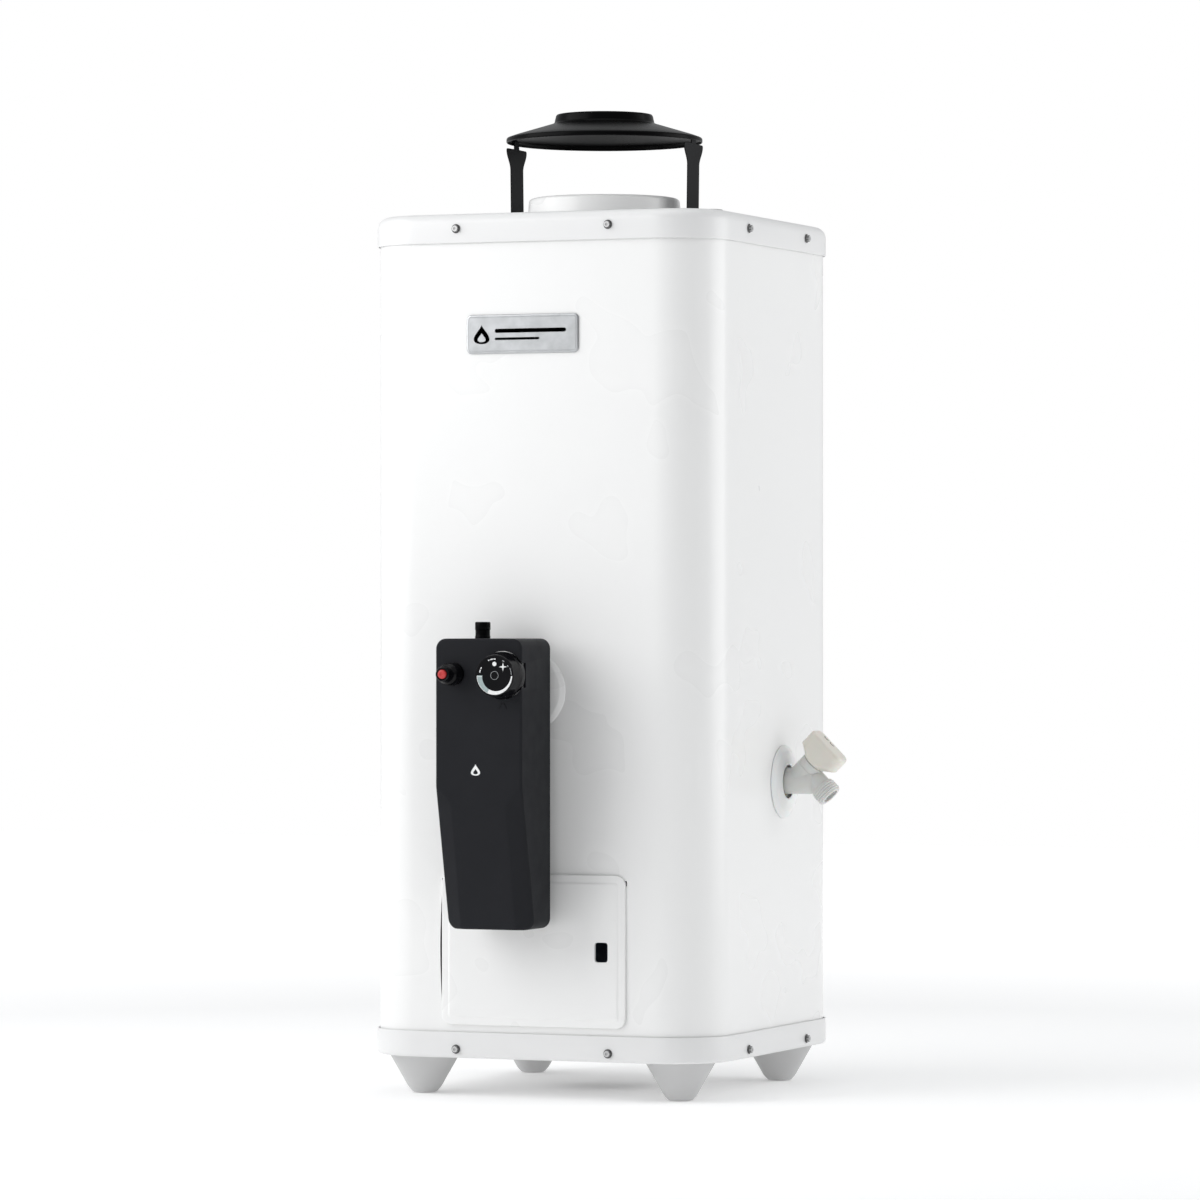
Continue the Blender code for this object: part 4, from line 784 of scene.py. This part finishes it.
def cover_rows(inset, arc_steps=7):
    """(half width, z) rows of the cover's front outline at this inset, from top to bottom."""
    radius = COVER_RADIUS - inset
    top = COVER_HIGH.z - inset
    bottom = COVER_LOW.z + inset
    half = COVER_HALF - inset
    rows = []
    for step in range(arc_steps + 1):
        across, up = polar(radius, QUARTER * (1 - step / arc_steps))
        rows.append((half - radius + across, top - radius + up))
    straight_top = COVER_HIGH.z - COVER_RADIUS
    straight_low = COVER_LOW.z + COVER_RADIUS
    fold_top = FOLD_SIDE + 0.004
    fold_low = FOLD_CENTRE - 0.007
    levels = []
    for first, last, count in ((straight_top, fold_top, 18), (fold_top, fold_low, 26),
                               (fold_low, straight_low, 18)):
        levels += [first + (last - first) * (i + 1) / count for i in range(count)]
    rows += [(half, z) for z in levels[:-1]]
    for step in range(arc_steps + 1):
        across, down = polar(radius, QUARTER * step / arc_steps)
        rows.append((half - radius + across, bottom + radius - down))
    return rows


def cover_columns():
    """Shares across the front, closer together over the two facets."""
    edge = 1 - FACET / COVER_HALF
    outer = [1 - (1 - edge) * i / 12 for i in range(13)]
    inner = [edge * (1 - i / 6) for i in range(1, 6)]
    right = outer + inner
    return [-v for v in right] + [0.0] + list(reversed(right))


def cover_grid(bm, inset, offset):
    """The front surface as a grid of vertices; gives back its boundary loop."""
    grid = []
    for half, z in cover_rows(inset):
        row = []
        for share in cover_columns():
            x = COVER_MID_X + half * share
            row.append(bm.verts.new((x, COVER_LOW.y + offset + cover_depth(x, z), z)))
        grid.append(row)
    for upper, lower in zip(grid, grid[1:]):
        for i in range(len(upper) - 1):
            bm.faces.new((upper[i], upper[i + 1], lower[i + 1], lower[i]))
    return grid[0] + [row[-1] for row in grid[1:]] + list(reversed(grid[-1][:-1])) + \
        [row[0] for row in reversed(grid[1:-1])]


def cover_loop(bm, inset, offset=None, y=None):
    """The outline loop that matches a grid's boundary, at a depth or on a flat plane."""
    rows = cover_rows(inset)
    columns = cover_columns()

    def vert(half, share, z):
        x = COVER_MID_X + half * share
        place = y if y is not None else COVER_LOW.y + offset + cover_depth(x, z)
        return bm.verts.new((x, place, z))

    loop = [vert(rows[0][0], share, rows[0][1]) for share in columns]
    loop += [vert(half, 1.0, z) for half, z in rows[1:]]
    loop += [vert(rows[-1][0], share, rows[-1][1]) for share in reversed(columns[:-1])]
    loop += [vert(half, -1.0, z) for half, z in reversed(rows[1:-1])]
    return loop


def join_loops(bm, first, second):
    count = len(first)
    for i in range(count):
        j = (i + 1) % count
        bm.faces.new((first[i], first[j], second[j], second[i]))


def make_cover():
    edge = 0.0022
    steps = 5
    bm = bmesh.new()
    loop = cover_grid(bm, edge, 0.0)
    for step in range(1, steps + 1):
        across, up = polar(edge, QUARTER * step / steps)
        ring = cover_loop(bm, edge - up, edge - across)
        join_loops(bm, loop, ring)
        loop = ring
    back = COVER_HIGH.y
    wall = 0.0025
    for inset, y in ((0.0, back - 0.0006), (0.0006, back), (wall, back)):
        ring = cover_loop(bm, inset, y=y)
        join_loops(bm, loop, ring)
        loop = ring
    inner = cover_grid(bm, wall, wall)
    join_loops(bm, loop, inner)
    cover = piece("cover_shell", bm, CHARCOAL, "heater", ["control_cover"], smooth=24.0)
    cuts = bmesh.new()
    dial = middle("temperature_dial") - AXIS
    igniter = middle("igniter_body") - AXIS
    inlet = middle("gas_inlet") - AXIS
    add_bore(cuts, (dial.x, COVER_LOW.y, dial.z), (0, 0.01, 0), 0.0232, 64)
    add_bore(cuts, (igniter.x, COVER_LOW.y, igniter.z), (0, 0.01, 0), 0.0111, 40)
    add_bore(cuts, (inlet.x, inlet.y, COVER_HIGH.z), (0, 0, 0.01), 0.0083, 32)
    boolean(cover, cuts)


def make_cover_marks():
    """A raised pointer under the dial, and a small plain flame further down."""
    dial = middle("temperature_dial") - AXIS
    buried = COVER_LOW.y + INK
    bm = bmesh.new()
    half = 0.0006
    for side in (-1, 1):
        start = Vector((dial.x + side * 0.0002, 0.3870))
        end = Vector((dial.x + side * 0.0042, 0.3795))
        along = (end - start).normalized()
        across = Vector((-along.y, along.x)) * half
        centre = (start + end) / 2
        rings = []
        for factor, y in ((1.0, buried), (0.8, COVER_LOW.y - 0.0005)):
            corners = [centre + (point - centre) * factor
                       for point in (start + across, start - across, end - across, end + across)]
            rings.append([(point.x, y, point.y) for point in corners])
        loft(bm, rings)
    piece("cover_pointer", bm, CHARCOAL, "heater")
    flame_x = COVER_MID_X - 0.0030
    flame_z = 0.3215
    outer = shifted(drop_outline(0.0080, 0.0110), flame_x, flame_z)
    hole = shifted(drop_outline(0.0040, 0.0052), flame_x, flame_z - 0.0016)
    proud = COVER_LOW.y - INK
    bm = lofted([[(x, y, z) for x, z in outline] for outline, y in
                 ((outer, buried), (outer, proud), (hole, proud), (hole, buried))], closed=True)
    piece("cover_flame_mark", bm, WHITE_INK, "heater")


def arc_band(bm, start, end, radii, low, high, steps=48):
    """A printed band on a dial face; radii(share) gives its inner and outer radius."""
    inner = []
    outer = []
    for step in range(steps + 1):
        share = step / steps
        angle = math.radians(start + (end - start) * share)
        near, far = radii(share)
        inner.append(polar(near, angle))
        outer.append(polar(far, angle))
    slab(bm, outer + list(reversed(inner)), low, high)


def make_dial():
    """The knob and its printed face: a tapering band, a dot, a star and a few dashes."""
    origin = Vector((middle("temperature_dial").x, COVER_LOW.y + AXIS.y, middle("temperature_dial").z))
    profile = [(0.0044, 0.012), (0.0044, -0.003), (0.0224, -0.003), (0.0224, 0.0042), (0.0216, 0.0058),
               (0.0200, 0.0182), (0.0193, 0.0195), (0.0188, 0.0195), (0.0185, 0.0191)]
    radii = [0, 0.0003, 0.0003, 0.0010, 0.0010, 0.0010, 0.0004, 0.0002, 0]
    piece("dial_knob", turned(soften(profile, radii, 4), 96), GLOSS_BLACK, "dial",
          ["temperature_dial"], origin, FRONT_TURN)
    low = 0.0190
    high = low + 2 * INK
    rim = 0.0184
    wide = 0.0058
    narrow = 0.0012
    tinted = 0.37              # the share of the band printed in the second colour

    def band(share):
        return rim - (wide + (narrow - wide) * share), rim

    def dashes(bm, spans, near):
        for first, last in spans:
            arc_band(bm, first, last, lambda share: (near, near + 0.0010), low, high, 6)

    bm = bmesh.new()
    arc_band(bm, 180.0, 246.0, lambda s: (band(s * tinted)[0], rim - 0.0005), low, high, 24)
    piece("dial_band_start", bm, MINT_INK, "dial", (), origin, FRONT_TURN)
    bm = bmesh.new()
    arc_band(bm, 246.3, 358.0, lambda s: band(tinted + (1 - tinted) * s), low, high)
    arc_band(bm, 182.0, 246.0, lambda s: (rim - 0.0004, rim), low, high, 24)
    arc_band(bm, 183.5, 185.0, lambda s: (0.0128, 0.0178), low + 0.00005, high + 0.00005, 2)
    slab(bm, shifted(circle(0.0021, 28), 0.0, 0.0110), low, high)
    star = [polar(0.0011 if i % 2 else 0.0043, math.radians(45.0 * i)) for i in range(8)]
    slab(bm, shifted(star, 0.0088, 0.0082), low, high)
    dashes(bm, ((85.5, 93.0), (96.0, 106.0), (109.0, 115.0)), 0.0151)
    dashes(bm, ((150.0, 157.0), (160.0, 170.0)), 0.0150)
    piece("dial_marks", bm, WHITE_INK, "dial", (), origin, FRONT_TURN)
    bm = bmesh.new()
    dashes(bm, ((30.0, 36.0), (52.0, 60.0)), 0.0160)
    arc_band(bm, 2.0, 24.0, lambda s: (0.0172, 0.0178), low, high, 12)
    loft(bm, [at_height(circle(radius, 40), z) for radius, z in
              ((0.0041, low), (0.0041, high), (0.0037, high), (0.0037, low))], closed=True)
    piece("dial_dashes", bm, GREY_INK, "dial", (), origin, FRONT_TURN)


def make_igniter():
    origin = Vector((middle("igniter_body").x, COVER_LOW.y + AXIS.y, middle("igniter_body").z))
    profile = [(0.0049, 0.012), (0.0049, 0.0264), (0.0054, 0.0270), (0.0066, 0.0270), (0.0071, 0.0263),
               (0.0071, 0.0190), (0.0080, 0.0168), (0.0098, 0.0150), (0.0107, 0.0130), (0.0107, 0.0003),
               (0.0100, 0.0), (0.0100, -0.014)]
    piece("igniter_barrel", turned(soften(profile, 0.0006, 3), 64), GLOSS_BLACK, "heater",
          ["igniter_body"], origin, FRONT_TURN)
    button = [(0.0040, 0.018), (0.0044, 0.0185), (0.0044, 0.0274), (0.0039, 0.0283), (0.0026, 0.0285),
              (0.0020, 0.0285), (0.0015, 0.0280)]
    piece("igniter_plunger", turned(soften(button, 0.0005, 3), 48), RED, "igniter_button",
          ["igniter_button"], origin, FRONT_TURN)


def make_inlet():
    low, top = heights("gas_inlet")
    centre = middle("gas_inlet")
    groove = 0.4490
    profile = [(0.0075, low), (0.0075, groove), (0.0071, groove + 0.0006), (0.0071, groove + 0.0060),
               (0.0075, groove + 0.0066),
               (0.0075, top - 0.0008), (0.0067, top), (0.0054, top), (0.0050, top - 0.0006), (0.0050, low)]
    piece("inlet_stub", turned(soften(profile, 0.0004, 2, closed=True), 48, closed=True), BLACK, "heater",
          ["gas_inlet"], (centre.x, centre.y, 0.0))


def dished(radius, bore, height):
    """The section of a thin trim plate that rises from its rim to its bore."""
    halfway = (radius + bore) / 2
    rise = height * 0.70
    return soften([(radius, GAP), (radius - 0.0004, GAP + 0.0010), (halfway + 0.004, rise),
                   (bore + 0.0018, height), (bore, height - 0.0003), (bore, height - 0.0014),
                   (halfway, rise - 0.0012), (radius - 0.0026, GAP)], 0.0008, 3, closed=True)


def make_plates():
    centre = middle("control_escutcheon")
    piece("control_trim_ring", turned(dished(0.0389, 0.021, 0.005), 80, closed=True), WHITE, "heater",
          ["control_escutcheon"], (centre.x, FRONT_FACE, centre.z), FRONT_TURN)
    centre = middle("drain_escutcheon")
    piece("drain_trim_plate", turned(dished(0.0363, 0.0165, 0.006), 80, closed=True), IVORY_PLATE, "heater",
          ["drain_escutcheon"], (RIGHT_FACE, centre.y, centre.z), RIGHT_TURN)


# ------------------------------------------------------------------ water fittings

def make_nipples():
    """Threaded pipe ends on the cap, each in its coloured ring."""
    outer = 0.0132
    bore = 0.0102
    pitch = 0.0018
    thread_low = 0.8640
    for word, material, slot in (("hot", RED, "red_plastic"), ("cold", BLUE, "blue_plastic")):
        node = f"{word}_nipple"
        centre = middle(node)
        low, top = heights(node)
        outside = [(outer, low), (outer, thread_low)]
        for turn in range(int((top - 0.0012 - thread_low) / pitch)):
            z = thread_low + pitch * turn
            outside += [(outer, z + 0.1 * pitch), (outer - 0.0009, z + 0.55 * pitch), (outer, z + pitch)]
        outside += [(outer - 0.0001, top - 0.0008), (outer - 0.0010, top), (bore + 0.0004, top),
                    (bore, top - 0.0005), (bore, low)]
        piece(f"{word}_pipe_nipple", turned(outside, 56, closed=True), ZINC, "heater", [node],
              (centre.x, centre.y, 0.0))
        ring_low = low_of(f"{word}_ring")
        size = high_of(f"{word}_ring") - ring_low
        radius = size.x / 2 - 0.0001
        ring = soften([(radius, 0.0), (radius, 0.0016), (radius - 0.0011, size.z), (0.0152, size.z),
                       (0.0139, 0.0012), (0.0139, 0.0)], 0.0004, 2, closed=True)
        piece(f"{word}_marker_ring", turned(ring, 64, closed=True), material, "heater",
              [f"{word}_ring"], (centre.x, centre.y, ring_low.z))


DRAIN_Y = middle("drain_valve_body").y - AXIS.y
DRAIN_Z = 0.3058
OUTLET_START = 0.2171
OUTLET_ANGLE = math.radians(-45.0)
BONNET_START = 0.1967
BONNET_ANGLE = math.radians(45.0)


def drain_axis(start_x, angle):
    """The frame whose +Z runs along one of the drain valve's slanted axes."""
    origin = Vector((start_x, DRAIN_Y, DRAIN_Z))
    return Matrix.Translation(origin) @ Matrix.Rotation(QUARTER - angle, 4, "Y")


def set_on(bm, matrix):
    bmesh.ops.transform(bm, matrix=matrix, verts=bm.verts)
    return bm


def make_drain_body():
    """One moulding: a level shank, a ridged spout that slants down and a bonnet that slants up."""
    profile = soften([(0.0122, 0.146), (0.0130, 0.150), (0.0130, 0.2125), (0.0112, 0.2160),
                      (0.0070, 0.2168)], [0, 0.001, 0.003, 0.002, 0], 5)
    shank = set_on(turned(profile, 56), drain_axis(0.0, 0.0))
    body = piece("drain_body", shank, IVORY_BODY, "heater", ["drain_valve_body"])
    length = 0.0215
    profile = [(0.0070, -0.0070), (0.0100, -0.0040), (0.0105, 0.0), (0.0105, 0.0070), (0.0122, 0.0088),
               (0.0122, 0.0100)]
    for ridge in range(4):
        z = 0.0102 + 0.0025 * ridge
        profile += [(0.0121, z), (0.0130, z + 0.0009), (0.0130, z + 0.0013), (0.0121, z + 0.0022)]
    profile += [(0.0121, 0.0206), (0.0121, length - 0.0006), (0.0113, length)]
    outlet = set_on(turned(soften(profile, 0.0004, 2), 56), drain_axis(OUTLET_START, OUTLET_ANGLE))
    boolean(body, outlet, "UNION")
    profile = [(0.0090, -0.0040), (0.0120, 0.0010), (0.0125, 0.0050), (0.0125, 0.0165), (0.0120, 0.0170),
               (0.0120, 0.0177), (0.0125, 0.0182), (0.0125, 0.0242), (0.0117, 0.0250), (0.0070, 0.0250)]
    bonnet = set_on(turned(soften(profile, 0.0006, 3), 56), drain_axis(BONNET_START, BONNET_ANGLE))
    boolean(body, bonnet, "UNION")
    for start, angle, first, last, radius, steps in (
            (OUTLET_START, OUTLET_ANGLE, -0.0035, 0.030, 0.0082, 40),
            (BONNET_START, BONNET_ANGLE, 0.006, 0.034, 0.0048, 40),
            (0.0, 0.0, 0.140, 0.214, 0.0070, 32)):
        along = drain_axis(start, angle)
        bore = bmesh.new()
        add_rod(bore, along @ Vector((0, 0, first)), along @ Vector((0, 0, last)), radius, steps)
        boolean(body, bore)


def make_drain_handle():
    """A long rounded grip that grows out of a conical skirt, with two printed crescents on top."""
    length = 0.0431
    width = 0.0258
    corner = 0.0075
    bottom = 0.0255
    skirt = 0.0335
    top = 0.0503
    roll = 0.0028
    steps = 9
    count = 4 * (steps + 1)
    angles = [2 * math.pi * (i + 0.5) / count for i in range(count)]

    def outline(inset):
        return rounded_outline(length - 2 * inset, width - 2 * inset, corner - inset, steps)

    def ring(radius):
        return [polar(radius, angle) for angle in angles]

    rings = [at_height(ring(0.0045), 0.0465), at_height(ring(0.0045), bottom),
             at_height(ring(0.0120), bottom)]
    edge = bottom + 0.0005
    for step in range(9):
        share = step / 8
        shape = [tuple(Vector(a).lerp(Vector(b), share ** 1.15)) for a, b in zip(ring(0.0126), outline(0.0))]
        rings.append(at_height(shape, edge + (skirt - edge) * share))
    for inset, z in quarter(roll, top - roll, 1, 0.0, 5):
        rings.append(at_height(outline(inset), z))
    matrix = drain_axis(BONNET_START, BONNET_ANGLE)
    bm = set_on(lofted(rings), matrix)
    piece("drain_knob", bm, IVORY, "drain_handle", ["drain_handle"])
    bm = bmesh.new()
    radius = 0.0029

    def crescent(share):
        return radius, radius + 0.0015 * math.sin(math.pi * (0.1 + 0.8 * share))

    for across in (-0.009, -0.001):
        printed_before = len(bm.verts)
        arc_band(bm, 205.0, 335.0, crescent, top - INK, top + INK, 14)
        bm.verts.ensure_lookup_table()
        bmesh.ops.translate(bm, vec=(across, 0.0075, 0.0), verts=bm.verts[printed_before:])
    set_on(bm, matrix)
    piece("drain_knob_arrows", bm, DARK_INK, "drain_handle")


# ------------------------------------------------------------------ stage, light and camera

def make_stage():
    """A pale floor, lit a little from within far from the heater so that it meets the backdrop."""
    shader = Shader("pale_floor")
    for socket, value in (("Base Color", (0.93, 0.93, 0.93, 1.0)), ("Roughness", 0.8),
                          ("Emission Color", (1.0, 1.0, 1.0, 1.0))):
        shader.bsdf.inputs[socket].default_value = value
    distance = add_node(shader.tree, "VectorMath", None, "LENGTH")
    glow = add_node(shader.tree, "MapRange",
                    {"From Min": 1.3, "From Max": 3.0, "To Min": 0.20, "To Max": 0.65})
    shader.link(shader.coords.outputs["Object"], distance.inputs[0])
    shader.link(distance.outputs["Value"], glow.inputs["Value"])
    shader.link(glow.outputs["Result"], shader.bsdf.inputs["Emission Strength"])
    mesh = bpy.data.meshes.new("floor")
    size = 6.0
    corners = [(-size, -size, 0), (size, -size, 0), (size, size, 0), (-size, size, 0)]
    mesh.from_pydata(corners, [], [(0, 1, 2, 3)])
    mesh.materials.append(shader.material)
    floor = bpy.data.objects.new("floor", mesh)
    floor.location = (0, 0, -0.0005)
    link_object(floor)


def area_light(name, azimuth, elevation, distance, size, power, aim):
    """A soft box aimed at a height; azimuth runs from the front, -Y, towards the right, +X."""
    data = bpy.data.lights.new(name, "AREA")
    data.shape = "RECTANGLE"
    data.size, data.size_y = size
    data.energy = power
    light = bpy.data.objects.new(name, data)
    level, up = polar(1.0, math.radians(elevation))
    front, right = polar(level, math.radians(azimuth))
    out = Vector((right, -front, up))
    light.location = Vector((0, 0, aim)) + out * distance
    light.rotation_euler = out.to_track_quat("Z", "Y").to_euler()
    link_object(light)


def make_lights():
    area_light("key_left", -52.0, 20.0, 2.2, (2.3, 2.0), 35.0, 0.80)
    area_light("top", 0.0, 82.0, 1.8, (1.6, 1.6), 8.0, 0.95)
    area_light("side_back", 116.0, 10.0, 2.2, (1.5, 1.7), 15.0, 0.66)


def make_world():
    """A soft white room, darker towards the front right corner, seen as a white backdrop."""
    world = bpy.data.worlds.new("studio")
    bpy.context.scene.world = world
    world.use_nodes = True
    tree = world.node_tree
    link = tree.links.new
    room = tree.nodes["Background"]
    room.inputs["Color"].default_value = (0.97, 0.985, 1.0, 1.0)
    coords = add_node(tree, "TexCoord")
    facing = add_node(tree, "VectorMath", {1: (0.696, -0.696, -0.174)}, "DOT_PRODUCT")
    fall = add_node(tree, "MapRange",
                    {"From Min": 0.72, "From Max": 0.96, "To Min": 0.52, "To Max": 0.20})
    fall.interpolation_type = "SMOOTHSTEP"
    link(coords.outputs["Generated"], facing.inputs[0])
    link(facing.outputs["Value"], fall.inputs["Value"])
    link(fall.outputs["Result"], room.inputs["Strength"])
    backdrop = add_node(tree, "Background", {"Color": (1.0, 1.0, 1.0, 1.0)})
    mix = add_node(tree, "MixShader")
    path = add_node(tree, "LightPath")
    link(path.outputs["Is Camera Ray"], mix.inputs["Fac"])
    link(room.outputs["Background"], mix.inputs[1])
    link(backdrop.outputs["Background"], mix.inputs[2])
    link(mix.outputs["Shader"], tree.nodes["World Output"].inputs["Surface"])


def make_camera():
    turn = math.radians(22.43)
    distance = 5.7573
    height = 0.463
    data = bpy.data.cameras.new("camera")
    data.sensor_width = 36.0
    data.lens = 172.96
    data.shift_x = -0.0037
    data.shift_y = 0.0182
    camera = bpy.data.objects.new("camera", data)
    camera.location = AXIS + Vector((distance * math.sin(turn), -distance * math.cos(turn), height))
    camera.rotation_euler = (QUARTER, 0.0, turn)
    link_object(camera)
    bpy.context.scene.camera = camera


bpy.context.scene.view_settings.view_transform = "Standard"
dress_carried_nodes()
make_jacket()
make_jacket_seam()
make_caps()
make_screws()
make_feet()
make_collar()
make_hood()
make_hood_legs()
make_badge()
make_door()
make_cover()
make_cover_marks()
make_dial()
make_igniter()
make_inlet()
make_plates()
make_nipples()
make_drain_body()
make_drain_handle()
make_stage()
make_lights()
make_world()
make_camera()
